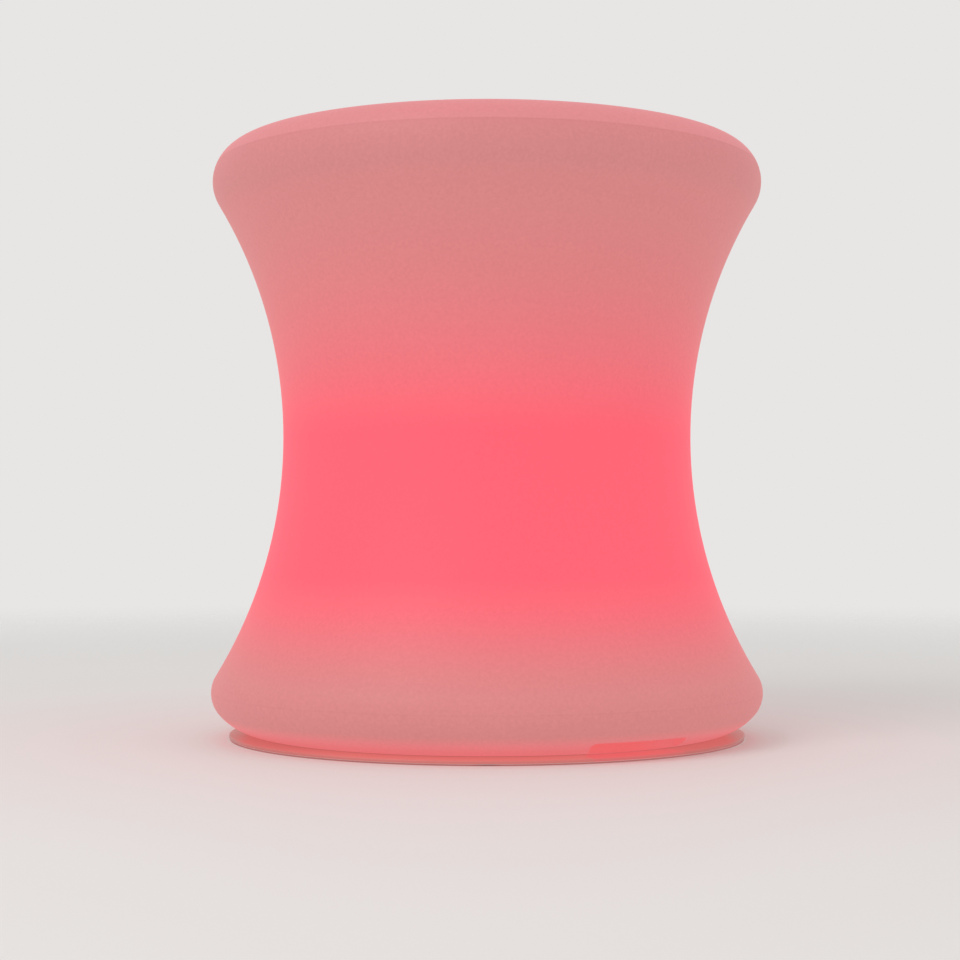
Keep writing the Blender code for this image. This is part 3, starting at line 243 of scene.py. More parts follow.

# Colours of the body: base colours tinted red with painted lamp light, and glow
RIM_BASE = (0.28, 0.13, 0.13)
RIM_GLOW = (0.415, 0.135, 0.132)
WAIST_BASE = (0.30, 0.05, 0.07)
WAIST_GLOW = (0.76, 0.078, 0.112)
# Painted shade under the rim: a more saturated red
UNDER_SHADE_BASE = (0.34, 0.10, 0.10)
UNDER_SHADE_GLOW = (0.52, 0.14, 0.15)
# Grip recess: painted light and shade, a brighter and more saturated red
GRIP_BASE = (0.34, 0.06, 0.07)
GRIP_GLOW = (0.57, 0.112, 0.113)
GRIP_FADE = 0.45
GRIP_GLOW_LEFT = 0.0620
GRIP_GLOW_SLANT = 0.5
GRIP_GLOW_BLEND = 0.0012
CLOUD_SIZE = 0.06
CLOUD_SHARE = 0.06
SPECK_SIZE = 0.0022
SPECK_SHARE = 0.4
SEAM_TONE = 0.95
SEAM_WIDTH = 0.0006
# Painted contact shade: the glow darkens at the body's foot, over the base's lip
FOOT_CONTACT_SHADE = 0.55
FOOT_CONTACT_SHADE_HEIGHT = 0.0046

# Painted highlight on the crown above the mould's parting line, and painted shade on the band under it
CROWN_HEIGHT = 0.4130
CROWN_BLEND = 0.0012
CROWN_HIGHLIGHT_GLOW = (0.385, 0.18, 0.178)
SHOULDER_LOW = 0.375
SHOULDER_SHADE_GLOW = (0.315, 0.146, 0.138)

# Colours of the base: its own colour, painted red light and painted shade on the lip, and glow
# Painted red light from the body, in the lip's base colour; the plate itself is white
LIP_LIGHT_BASE = (0.34, 0.09, 0.085)
LIP_GLOW = (0.42, 0.115, 0.105)
LIP_EDGE_RISE = 0.0004
# Painted shade on the lip's upright edge
LIP_EDGE_SHADE = 0.8
# Painted shade towards both sides of the front, and a painted paler glow at the lip's two ends
LIP_SIDE_START = 0.080
LIP_SIDE_END = 0.160
LIP_SIDE_SHADE = 0.80
LIP_END_START = 0.166
LIP_END_END = 0.180
LIP_END_GLOW = (0.30, 0.17, 0.155)
LIP_GRIP_GLOW = (0.48, 0.09, 0.094)
PLATE_BASE = (0.72, 0.67, 0.66)
PLATE_GLOW = (0.12, 0.03, 0.03)

# Colours of the other pieces
FOOT_COLOUR = (0.2, 0.2, 0.2)
HOUSING_COLOUR = (0.72, 0.7, 0.69)
POWER_COLOUR = (0.6, 0.07, 0.06)
COLOUR_KEY_COLOUR = (0.68, 0.68, 0.67)
FLAP_COLOUR = (0.1, 0.1, 0.1)
SLEEVE_COLOUR = (0.05, 0.16, 0.42)
CAN_COLOUR = (0.7, 0.7, 0.69)
CONTROL_MASK = (0.02, 0.14, 0.05)
CONTROL_TRACK = (0.03, 0.2, 0.08)
LAMP_MASK = (0.75, 0.74, 0.72)
LAMP_TRACK = (0.66, 0.65, 0.62)
LED_DARK = (0.8, 0.75, 0.5)
LED_PALE = (0.9, 0.88, 0.7)
LED_GLOW = (1.0, 0.12, 0.16)
LED_STRENGTH = 2.0
DOME_DARK = (0.8, 0.55, 0.55)
DOME_PALE = (0.86, 0.6, 0.6)
DOME_GLOW = (1.0, 0.14, 0.18)
DOME_STRENGTH = 1.2

# Colour and roughness of plain plastics and metals, and roughness where the colour can be set
PLASTICS = {
    "gasket": ((0.05, 0.05, 0.05), 0.7),
    "silicone": ((0.55, 0.53, 0.52), 0.6),
    "black_plastic": ((0.03, 0.03, 0.03), 0.4),
    "lead": ((0.04, 0.04, 0.04), 0.5),
    "sensor": ((0.06, 0.02, 0.03), 0.2),
}
METALS = {
    "screw": ((0.62, 0.62, 0.6), 0.3),
    "insert": ((0.72, 0.52, 0.24), 0.32),
    "strap": ((0.7, 0.7, 0.68), 0.35),
}
RUBBER_ROUGHNESS = 0.75
HOUSING_ROUGHNESS = 0.42
BUTTON_ROUGHNESS = 0.5
FLAP_ROUGHNESS = 0.65

# Grain and sheen of the finishes
PLASTIC_GRAIN = 0.0006
PLASTIC_RELIEF = 0.00002
PATCH_GRAINS = 30
MOTTLE_SHARE = 0.08
RUBBER_MOTTLE_SHARE = 0.2
METAL_GRAIN = 0.0004
METAL_RELIEF = 0.000006
HAZE_GRAINS = 8
HAZE_SHARE = 0.2
BODY_GRAIN = 0.0012
BODY_RELIEF = 0.00006
SEAM_RELIEF_SHARE = 1.2
BODY_ROUGHNESS = 0.5
BODY_SHEEN = 0.3
BASE_GRAIN = 0.0008
BASE_PATCH = 0.03
BASE_PATCH_SHARE = 0.06
BASE_ROUGHNESS = 0.45
ROUGHNESS_SHARE = 0.1
SLEEVE_END = 0.0312
CAN_START = 0.0316
SLEEVE_GRAIN = 0.004
SLEEVE_ROUGHNESS = 0.35
TRACK_PITCH = 0.0038
TRACK_SHARE_HIGH = 0.06
TRACK_SHARE_LOW = 0.03
BOARD_GRAIN = 0.003
BOARD_ROUGHNESS = 0.3
LED_GRAIN = 0.001
DOME_GRAIN = 0.01
DOME_ROUGHNESS = 0.4
FLOOR_GRAIN = 0.2
FLOOR_ROUGHNESS = 0.7

# Camera at the photo's place
CAMERA_PLACE = (-0.005, -1.455, 0.1524)
CAMERA_RISE = math.radians(1.36)
SENSOR_WIDTH = 36.0
CAMERA_LENS = 74.4

# Studio
FLOOR_RADIUS = 9.0
FLOOR_HOLE_RADIUS = 0.190
FLOOR_FADE_START = 0.7
FLOOR_FADE_END = 2.6
FLOOR_COLOUR = (0.84, 0.83, 0.82)
# Painted red light that the body throws on the floor under the lip
FLOOR_GLOW_COLOUR = (0.68, 0.225, 0.22)
FLOOR_UNDER_BLEND = 0.001
SKY_COLOUR = (0.80, 0.79, 0.78)
SKY_LIGHT = 0.9
KEY_PLACE = (-1.6, -1.7, 2.1)
KEY_SIZE = 1.8
KEY_POWER = 22
FILL_PLACE = (1.9, -1.2, 1.3)
FILL_SIZE = 1.6
FILL_POWER = 3
AIM_HEIGHT = 0.2


class Wire:
    """An output socket of a node tree. Plain sums with it add Math or Vector Math nodes."""

    def __init__(self, socket):
        self.socket = socket

    def add(self, kind, feeds=None, output=0, **settings):
        """Any other node of the tree, fed with wires and values by input name or number."""
        node = self.socket.id_data.nodes.new(kind)
        for name, value in settings.items():
            setattr(node, name, value)
        for key, value in (feeds or {}).items():
            feed(node.inputs[key], value)
        return Wire(node.outputs[output])

    def maths(self, operation, first, second):
        """A Math node, or a Vector Math node if either side is a vector."""
        sides = (first, second)
        kinds = [side.socket.type for side in sides if isinstance(side, Wire)]
        if any(kind in ("VECTOR", "RGBA") for kind in kinds):
            spread = [side if isinstance(side, (Wire, tuple)) else (side,) * 3 for side in sides]
            feeds = {0: spread[0], 1: spread[1]}
            return self.add("ShaderNodeVectorMath", feeds, operation=operation)
        return self.add("ShaderNodeMath", {0: first, 1: second}, operation=operation)

    def __add__(self, other):
        return self.maths("ADD", self, other)

    def __radd__(self, other):
        return self.maths("ADD", other, self)

    def __sub__(self, other):
        return self.maths("SUBTRACT", self, other)

    def __rsub__(self, other):
        return self.maths("SUBTRACT", other, self)

    def __mul__(self, other):
        return self.maths("MULTIPLY", self, other)

    def __rmul__(self, other):
        return self.maths("MULTIPLY", other, self)

    def __truediv__(self, other):
        return self.maths("DIVIDE", self, other)

    def __rtruediv__(self, other):
        return self.maths("DIVIDE", other, self)

    def axis(self, index):
        """One component of a vector."""
        return self.add("ShaderNodeSeparateXYZ", {0: self}, index)

    def step(self, low, high, smooth="SMOOTHSTEP"):
        """0 at low, 1 at high, held outside them."""
        feeds = {0: self, 1: low, 2: high, 3: 0.0, 4: 1.0}
        return self.add("ShaderNodeMapRange", feeds, interpolation_type=smooth, clamp=True)

    def mix(self, first, second):
        """A colour between two, with this wire as the share of the second."""
        feeds = {0: self, 6: first, 7: second}
        return self.add("ShaderNodeMix", feeds, 2, data_type="RGBA")

    def vector(self, **parts):
        """A vector of the named components, the others 0."""
        return self.add("ShaderNodeCombineXYZ", parts)

    def length(self):
        return self.add("ShaderNodeVectorMath", {0: self}, "Value", operation="LENGTH")

    def dot(self, other):
        feeds = {0: self, 1: other}
        return self.add("ShaderNodeVectorMath", feeds, "Value", operation="DOT_PRODUCT")

    def size(self):
        """The number without its sign."""
        return self.add("ShaderNodeMath", {0: self}, operation="ABSOLUTE")

    def noise(self, size, detail=2.0, output=0):
        """Noise of the given grain size over this vector."""
        feeds = {"Vector": self, "Scale": 1 / size, "Detail": detail}
        return self.add("ShaderNodeTexNoise", feeds, output)


def feed(socket, value):
    """Links a wire to an input, or sets the input's own value."""
    if isinstance(value, Wire):
        socket.id_data.links.new(value.socket, socket)
    elif socket.type == "RGBA":
        socket.default_value = (*value, 1.0)
    else:
        socket.default_value = value


def new_material(slot):
    """A material with its Principled shader and a wire of object coordinates."""
    material = bpy.data.materials.new(FINISH_PREFIX + slot)
    material.use_nodes = True
    tree = material.node_tree
    shader = tree.nodes["Principled BSDF"]
    coords = tree.nodes.new("ShaderNodeTexCoord")
    return material, shader, Wire(coords.outputs["Object"])


def coat(shader, feeds):
    """Feeds the shader's inputs by name."""
    for name, value in feeds.items():
        feed(shader.inputs[name], value)


def finish_of(slot):
    material = bpy.data.materials.get(FINISH_PREFIX + slot)
    if material is None:
        raise RuntimeError(f"finish the pieces first: slot {slot} has no material")
    return material


def emboss(shader, height, depth):
    """Fine relief over the whole surface."""
    feed(shader.inputs["Normal"], height.add("ShaderNodeBump", {"Height": height, "Distance": depth}))


def plastic(name, colour, roughness, mottle=MOTTLE_SHARE):
    """Moulded plastic: a slightly uneven colour, a slightly uneven sheen, and fine relief."""
    material, shader, place = new_material(name)
    dark = tuple(channel * (1 - mottle) for channel in colour)
    patches = place.noise(PLASTIC_GRAIN * PATCH_GRAINS)
    coat(shader, {
        "Base Color": patches.mix(dark, colour),
        "Roughness": roughness + (patches - 0.5) * mottle,
    })
    emboss(shader, place.noise(PLASTIC_GRAIN), PLASTIC_RELIEF)
    return material


def metal(name, colour, roughness):
    """Plated metal with fine scratches."""
    material, shader, place = new_material(name)
    haze = place.noise(METAL_GRAIN * HAZE_GRAINS)
    dull = tuple(channel * (1 - HAZE_SHARE) for channel in colour)
    coat(shader, {
        "Base Color": haze.mix(dull, colour),
        "Roughness": roughness + (haze - 0.5) * HAZE_SHARE,
        "Metallic": 1.0,
    })
    emboss(shader, place.noise(METAL_GRAIN), METAL_RELIEF)
    return material


def attribute(place, name):
    """A number stored on the mesh."""
    return place.add("ShaderNodeAttribute", None, "Fac", attribute_name=name)


def seam(height, level):
    """1 on the faint line that the mould's parting leaves at this height."""
    return (height - level).size().step(SEAM_WIDTH, 0.0)


def across_grip(place):
    """Distance along the grip recess from its middle, towards the right of the front."""
    return place.dot((math.cos(GRIP_TURN), math.sin(GRIP_TURN), 0))


def grip_fade(place):
    """The recess glows from a slanted line at its left, fully there and less towards its right."""
    left = place.axis(0) - place.axis(2) * GRIP_GLOW_SLANT
    lit = left.step(GRIP_GLOW_LEFT, GRIP_GLOW_LEFT + GRIP_GLOW_BLEND)
    return lit * (1 - across_grip(place).step(0.0, GRIP_WIDTH / 2) * GRIP_FADE)


def body_material(rim_glow, waist_glow):
    """Translucent plastic lit from inside: the stored lamp light sets how strongly it glows."""
    material, shader, place = new_material("body")
    glow = attribute(place, "glow")
    grip = attribute(place, "grip")
    height = place.axis(2)
    # Painted shade on the rim's underside, a more saturated red
    under = height.step(UNDER_HIGH, UNDER_LOW)
    # Painted highlight on the crown above the parting line
    crown = height.step(CROWN_HEIGHT, CROWN_HEIGHT + CROWN_BLEND)
    recess = grip * grip_fade(place)
    # Base colour: painted lamp light, with painted shade under the rim and in the grip recess
    base = recess.mix(under.mix(glow.mix(RIM_BASE, WAIST_BASE), UNDER_SHADE_BASE), GRIP_BASE)
    # Painted shade on the shoulder under the crown
    shoulder_shade = height.step(SHOULDER_LOW, CROWN_HEIGHT)
    dim = crown.mix(shoulder_shade.mix(rim_glow, SHOULDER_SHADE_GLOW), CROWN_HIGHLIGHT_GLOW)
    shine = recess.mix(under.mix(glow.mix(dim, waist_glow), UNDER_SHADE_GLOW), GRIP_GLOW)
    seams = seam(height, CROWN_HEIGHT) + seam(height, LOWER_EDGE_HEIGHT)
    cloud = place.noise(CLOUD_SIZE)
    speck = place.noise(SPECK_SIZE)
    # Painted contact shade at the foot, where the body sits on the lip
    foot = 1 - height.step(FOOT_CONTACT_SHADE_HEIGHT, SHELL_FOOT) * (1 - FOOT_CONTACT_SHADE)
    uneven = 1 - CLOUD_SHARE / 2 + cloud * CLOUD_SHARE
    speckled = 1 - SPECK_SHARE / 2 + speck * SPECK_SHARE
    # Real seams and uneven tone, times the foot's painted contact shade
    tone = (1 - seams * (1 - SEAM_TONE)) * uneven * foot
    coat(shader, {
        "Base Color": base * speckled,
        "Emission Color": shine * tone,
        "Emission Strength": 1.0,
        "Specular IOR Level": BODY_SHEEN,
        "Roughness": BODY_ROUGHNESS + cloud * ROUGHNESS_SHARE,
    })
    emboss(shader, place.noise(BODY_GRAIN) + seams * SEAM_RELIEF_SHARE, BODY_RELIEF)
    return material


def grip_sector(place):
    """1 on the part of the base that the grip recess opens over."""
    outwards = place.dot((math.sin(GRIP_TURN), -math.cos(GRIP_TURN), 0))
    half = GRIP_WIDTH / 2
    inside = across_grip(place).size().step(half, half - GRIP_CORNER)
    return inside * outwards.step(0.0, GRIP_CORNER) * grip_fade(place)


def lip_sides(place):
    """Painted shade makes the lip dimmer towards both sides of the front, and a painted paler glow sits at
    its two ends.
    """
    across = place.axis(0).size()
    tone = 1 - across.step(LIP_SIDE_START, LIP_SIDE_END) * (1 - LIP_SIDE_SHADE)
    return tone, across.step(LIP_END_START, LIP_END_END)


def base_material(plate_colour):
    """White base plastic; the lit body above reddens its lip."""
    material, shader, place = new_material("base")
    radius = (place * (1, 1, 0)).length()
    height = place.axis(2)
    above = height.step(PAD_STAND, PAD_STAND + LIP_EDGE_RISE)
    lip = above * radius.step(FOOT_INNER_RADIUS, GRIP_BACK)
    # Painted shade on the lip's upright edge and underside
    edge = height.step(LIP_TOP, LIP_TOP - PLATE_EDGE_RADIUS) * (1 - LIP_EDGE_SHADE)
    patches = place.noise(BASE_PATCH)
    # Painted shade towards the sides, painted paler glow at the ends
    sides, ends = lip_sides(place)
    # The lip's base colour is painted red light from the body
    base = lip.mix(plate_colour, LIP_LIGHT_BASE)
    reddened = ends.mix(LIP_GLOW, LIP_END_GLOW) * sides
    shine = (lip * grip_sector(place)).mix(lip.mix(PLATE_GLOW, reddened), LIP_GRIP_GLOW)
    coat(shader, {
        "Base Color": base * (1 - BASE_PATCH_SHARE + patches * BASE_PATCH_SHARE),
        "Emission Color": shine * (1 - edge),
        "Emission Strength": 1.0,
        "Roughness": BASE_ROUGHNESS + patches * ROUGHNESS_SHARE,
    })
    emboss(shader, place.noise(BASE_GRAIN), PLASTIC_RELIEF)
    return material


def cell_material():
    """Shrink sleeve over the cells, bare metal at their ends."""
    material, shader, place = new_material("cell")
    bare = place.axis(0).size().step(SLEEVE_END, CAN_START)
    coat(shader, {
        "Base Color": bare.mix(SLEEVE_COLOUR, CAN_COLOUR),
        "Metallic": bare,
    })
    sheen = SLEEVE_ROUGHNESS + place.noise(SLEEVE_GRAIN) * ROUGHNESS_SHARE
    feed(shader.inputs["Roughness"], sheen)
    return material


def board_material(name, mask, ink):
    """Circuit board: solder mask with tracks under it and a few bare pads."""
    material, shader, place = new_material(name)
    feeds = {"Vector": place, "Scale": 1 / TRACK_PITCH}
    cells = place.add("ShaderNodeTexVoronoi", feeds, 0, feature="DISTANCE_TO_EDGE")
    track = cells.step(TRACK_SHARE_HIGH, TRACK_SHARE_LOW)
    sheen = BOARD_ROUGHNESS + place.noise(BOARD_GRAIN) * ROUGHNESS_SHARE
    coat(shader, {"Base Color": track.mix(mask, ink), "Roughness": sheen})
    return material


def led_material():
    """Light sources: a pale body with a glowing face."""
    material, shader, place = new_material("led")
    coat(shader, {
        "Base Color": place.noise(LED_GRAIN).mix(LED_DARK, LED_PALE),
        "Emission Color": LED_GLOW,
        "Emission Strength": LED_STRENGTH,
    })
    return material


def dome_material():
    """Milky diffuser with the lamp's light in it."""
    material, shader, place = new_material("dome")
    coat(shader, {
        "Base Color": place.noise(DOME_GRAIN).mix(DOME_DARK, DOME_PALE),
        "Emission Color": DOME_GLOW,
        "Emission Strength": DOME_STRENGTH,
        "Roughness": DOME_ROUGHNESS,
    })
    return material


def slot_materials(shell, base, controls):
    """One material for each of the record's slots."""
    made = {
        "body": body_material(tuple(shell.rim_glow), tuple(shell.waist_glow)),
        "base": base_material(tuple(base.plate_colour)),
        "foot": plastic("foot", tuple(base.foot_colour), RUBBER_ROUGHNESS, RUBBER_MOTTLE_SHARE),
        "control_board": board_material("control_board", CONTROL_MASK, CONTROL_TRACK),
        "cell": cell_material(),
        "lamp_board": board_material("lamp_board", LAMP_MASK, LAMP_TRACK),
        "led": led_material(),
        "dome": dome_material(),
    }
    for name, colour, roughness in (
        ("lamp_plastic", controls.housing_colour, HOUSING_ROUGHNESS),
        ("power_cap", controls.power_colour, BUTTON_ROUGHNESS),
        ("colour_cap", controls.key_colour, BUTTON_ROUGHNESS),
        ("flap", controls.flap_colour, FLAP_ROUGHNESS),
    ):
        made[name] = plastic(name, tuple(colour), roughness)
    for kind, table in ((plastic, PLASTICS), (metal, METALS)):
        made.update({name: kind(name, *finish) for name, finish in table.items()})
    return made


def paint(obj, material):
    """Puts one material on a finished object."""
    obj.data.materials.clear()
    obj.data.materials.append(material)


def arc(centre, radius, start, end, steps):
    """Points of an arc in the (radius, height) plane, both ends included."""
    turns = (start + (end - start) * step / steps for step in range(steps + 1))
    return [
        (centre[0] + radius * math.cos(turn), centre[1] + radius * math.sin(turn)) for turn in turns
    ]


def hourglass(inset):
    """The body's half outline from the middle of the seat to the foot: arcs that touch each other."""
    top = (RIM_RADIUS - TOP_EDGE_RADIUS, STOOL_HEIGHT - TOP_EDGE_RADIUS)
    low = (RIM_RADIUS - LOWER_EDGE_RADIUS, LOWER_EDGE_HEIGHT)
    lean = WAIST_DEPTH * (TOP_EDGE_RADIUS - LOWER_EDGE_RADIUS) / (top[1] - low[1])
    middle = (top[1] + low[1]) / 2 - lean
    rise = top[1] - middle
    spread = (WAIST_RADIUS - top[0]) ** 2 - TOP_EDGE_RADIUS**2
    flank_radius = (rise**2 + spread) / (2 * WAIST_DEPTH)
    flank = (WAIST_RADIUS + flank_radius, middle)
    upper_turn = math.atan2(rise, flank[0] - top[0])
    lower_turn = math.atan2(middle - low[1], flank[0] - low[0])
    fall = math.sin(UNDER_TURN)
    under_radius = (LOWER_EDGE_HEIGHT - LOWER_EDGE_RADIUS * fall - SHELL_FOOT) / (1 - fall)
    reach = under_radius - LOWER_EDGE_RADIUS
    under = (low[0] - reach * math.cos(UNDER_TURN), low[1] + reach * fall)
    points = [(0, STOOL_HEIGHT - inset)]
    points += arc(top, TOP_EDGE_RADIUS - inset, math.pi / 2, -upper_turn, EDGE_STEPS)
    upper, lower = math.pi - upper_turn, math.pi + lower_turn
    points += arc(flank, flank_radius + inset, upper, lower, FLANK_STEPS)[1:]
    points += arc(low, LOWER_EDGE_RADIUS - inset, lower_turn, -UNDER_TURN, EDGE_STEPS)[1:]
    points += arc(under, under_radius - inset, -UNDER_TURN, -math.pi / 2, UNDER_STEPS)[1:]
    return points


def shell_outline():
    """The closed section of the moulded wall: outside, foot, flange and hollow."""
    foot = [
        (FOOT_INNER_RADIUS, SHELL_FOOT),
        (FOOT_INNER_RADIUS, FLANGE_UNDER),
        (FLANGE_OPENING_RADIUS, FLANGE_UNDER),
        (FLANGE_OPENING_RADIUS, FLANGE_TOP),
        (POCKET_RADIUS, FLANGE_TOP),
        (POCKET_RADIUS, SHELL_FOOT + SHELL_WALL),
    ]
    return hourglass(0) + foot + hourglass(SHELL_WALL)[::-1]


def linked(name, data):
    """A new object in the scene."""
    obj = bpy.data.objects.new(name, data)
    bpy.context.scene.collection.objects.link(obj)
    return obj


def section_curve(name, outline, circle):
    """A flat closed curve of a section; turning lays its X outwards and its Y downwards."""
    curve = bpy.data.curves.new(name, "CURVE")
    curve.dimensions = "2D"
    spline = curve.splines.new("POLY")
    spline.points.add(len(outline) - 1)
    for point, (radius, height) in zip(spline.points, outline):
        point.co = (radius - circle, -height, 0, 1)
    spline.use_cyclic_u = True
    return linked(name, curve)


def new_tree(name, *titles):
    """A geometry tree with the named inputs: gives back its section, its inputs and what ends it."""
    tree = bpy.data.node_groups.new(name, "GeometryNodeTree")
    for title in ("Geometry", "Segments", *titles, "Material"):
        kind = "NodeSocket" + INPUT_KINDS.get(title, "Float")
        tree.interface.new_socket(title, in_out="INPUT", socket_type=kind)
    tree.interface.new_socket("Geometry", in_out="OUTPUT", socket_type="NodeSocketGeometry")
    start = tree.nodes.new("NodeGroupInput")
    end = tree.nodes.new("NodeGroupOutput")

    given = {socket.name: Wire(socket) for socket in start.outputs if socket.name}

    def finish(geometry):
        whole = geometry.add("GeometryNodeRealizeInstances", {0: geometry})
        feeds = {"Geometry": whole, "Material": given["Material"]}
        feed(end.inputs[0], whole.add("GeometryNodeSetMaterial", feeds))
        return tree

    return given["Geometry"], given, finish


def smoothed(mesh):
    """Smooth faces, with the edges that turn sharply left sharp."""
    soft = mesh.add("GeometryNodeSetShadeSmooth", {0: mesh})
    angle = mesh.add("GeometryNodeInputMeshEdgeAngle")
    sharp = angle.add("FunctionNodeCompare", {0: angle, 1: SMOOTH_ANGLE}, operation="GREATER_THAN")
    feeds = {0: soft, "Selection": sharp, "Shade Smooth": False}
    return soft.add("GeometryNodeSetShadeSmooth", feeds, domain="EDGE")


def stored(mesh, name, value, domain):
    """Keeps a number on every point or face of the mesh."""
    feeds = {"Geometry": mesh, "Name": name, "Value": value}
    return mesh.add("GeometryNodeStoreNamedAttribute", feeds, data_type="FLOAT", domain=domain)


def turned(section, segments, circle):
    """A section turned all the way round +Z."""
    feeds = {"Resolution": segments, "Radius": circle}
    path = section.add("GeometryNodeCurvePrimitiveCircle", feeds)
    steady = path.add("GeometryNodeSetCurveNormal", {0: path}, mode="Z_UP")
    swept = steady.add("GeometryNodeCurveToMesh", {"Curve": steady, "Profile Curve": section})
    return swept.add("GeometryNodeMergeByDistance", {"Geometry": swept, "Distance": WELD})


def moved(shape, place, turn=(0, 0, 0)):
    feeds = {"Geometry": shape, "Translation": place, "Rotation": turn}
    return shape.add("GeometryNodeTransform", feeds)


def rod(start, radius, low, high, place=(0, 0)):
    """An upright cylinder between two heights."""
    feeds = {"Vertices": SMALL_SEGMENTS, "Radius": radius, "Depth": high - low}
    shape = start.add("GeometryNodeMeshCylinder", feeds)
    return moved(shape, (*place, (low + high) / 2))


def crossbar(start, radius, half_length, place):
    """A cylinder along X."""
    feeds = {"Vertices": SMALL_SEGMENTS, "Radius": radius, "Depth": 2 * half_length}
    shape = start.add("GeometryNodeMeshCylinder", feeds)
    return moved(shape, place, (0, math.pi / 2, 0))


def block(start, size, place):
    return moved(start.add("GeometryNodeMeshCube", {"Size": size}), place)


def ring_of(shape, count, circle, first):
    """Copies of a shape round +Z, each turned to face outwards."""
    ring = shape.add("GeometryNodeMeshCircle", {"Vertices": count, "Radius": circle})
    spun = moved(ring, (0, 0, 0), (0, 0, first))
    place = spun.add("GeometryNodeInputPosition")
    facing = place.add("FunctionNodeAlignRotationToVector", {"Vector": place}, axis="X", pivot_axis="Z")
    feeds = {"Points": spun, "Instance": shape, "Rotation": facing}
    put = spun.add("GeometryNodeInstanceOnPoints", feeds)
    return put.add("GeometryNodeRealizeInstances", {0: put})


def boolean(operation, shape, others):
    first = {"Mesh 1": shape} if operation == "DIFFERENCE" else {"Mesh 2": shape}
    made = shape.add("GeometryNodeMeshBoolean", first, operation=operation, solver="EXACT")
    for other in others:
        feed(made.socket.node.inputs["Mesh 2"], other)
    return made


def joined(shape, *others):
    return boolean("UNION", shape, others)


def carved(shape, *cutters):
    return boolean("DIFFERENCE", shape, cutters)


def shared(shape, other):
    return boolean("INTERSECT", shape, [other])


def cone(start, low_radius, high_radius, low, high):
    """An upright cone without its tip, between two heights."""
    sizes = {"Radius Bottom": low_radius, "Radius Top": high_radius, "Depth": high - low}
    feeds = {"Vertices": TURN_SEGMENTS, **sizes}
    return moved(start.add("GeometryNodeMeshCone", feeds), (0, 0, low))


def grip_bar(start, turn, width, top, back, corner):
    """A rounded bar that lies outwards under the rim."""
    span = {"Width": width, "Height": top * 2}
    plain = start.add("GeometryNodeCurvePrimitiveQuadrilateral", span)
    feeds = {"Curve": plain, "Radius": corner, "Count": CORNER_STEPS}
    rounded = plain.add("GeometryNodeFilletCurve", feeds, mode="POLY")
    line = start.add("GeometryNodeCurvePrimitiveLine", {"Start": (0, 0, 0), "End": (0, -RIM_RADIUS, 0)})
    steady = line.add("GeometryNodeSetCurveNormal", {0: line}, mode="Z_UP")
    feeds = {"Curve": steady, "Profile Curve": rounded, "Fill Caps": True}
    bar = steady.add("GeometryNodeCurveToMesh", feeds)
    out = moved(bar, back.vector(Y=back * -1))
    return moved(out, (0, 0, 0), turn.vector(Z=turn))


def lamp_light(start, light_height):
    """Light of the lamp on the wall, 1 across the waist: it falls with distance squared and slant."""
    position = start.add("GeometryNodeInputPosition")
    normal = start.add("GeometryNodeInputNormal")
    ray = position - start.vector(Z=light_height)
    distance = ray.length()
    reach = WAIST_RADIUS / distance
    light = ray.dot(normal) / distance * reach * reach * LIGHT_GAIN
    lit = light * position.axis(2).step(FOOT_SHADE_LOW, FOOT_SHADE_HIGH)
    return lit.add("ShaderNodeClamp", {0: lit})


def grip_liner(start, turn, width, top, back):
    """The wall behind the grip recess: a larger bar, kept inside the body's outside."""
    corner = GRIP_CORNER + SHELL_WALL
    bar = grip_bar(start, turn, width + 2 * SHELL_WALL, top + SHELL_WALL, back - SHELL_WALL, corner)
    return shared(bar, cone(start, LINER_LOW_RADIUS, LINER_HIGH_RADIUS, LINER_LOW, FLANGE_TOP))


def shell_tree():
    """Turns the wall's section, adds bosses and liner, cuts recess and holes, stores the light."""
    section, given, finish = new_tree("stool_shell", *GRIP_INPUTS, "Light Height")
    grips = [given[title] for title in GRIP_INPUTS]
    boss = rod(section, BOSS_RADIUS, FLANGE_TOP - FUSE, BOSS_TOP)
    bosses = ring_of(boss, SCREWS, BASE_SCREW_CIRCLE, SCREW_TURN)
    wall = joined(turned(section, given["Segments"], TURN_CIRCLE), bosses, grip_liner(section, *grips))
    recess = stored(grip_bar(section, *grips, GRIP_CORNER), "grip", 1.0, "FACE")
    hole = rod(section, INSERT_HOLE_RADIUS, FLANGE_UNDER - OVERRUN, INSERT_HOLE_TOP)
    holes = ring_of(hole, SCREWS, BASE_SCREW_CIRCLE, SCREW_TURN)
    body = carved(stored(wall, "grip", 0.0, "FACE"), recess, holes)
    light = lamp_light(section, given["Light Height"])
    return finish(stored(smoothed(body), "glow", light, "POINT"))


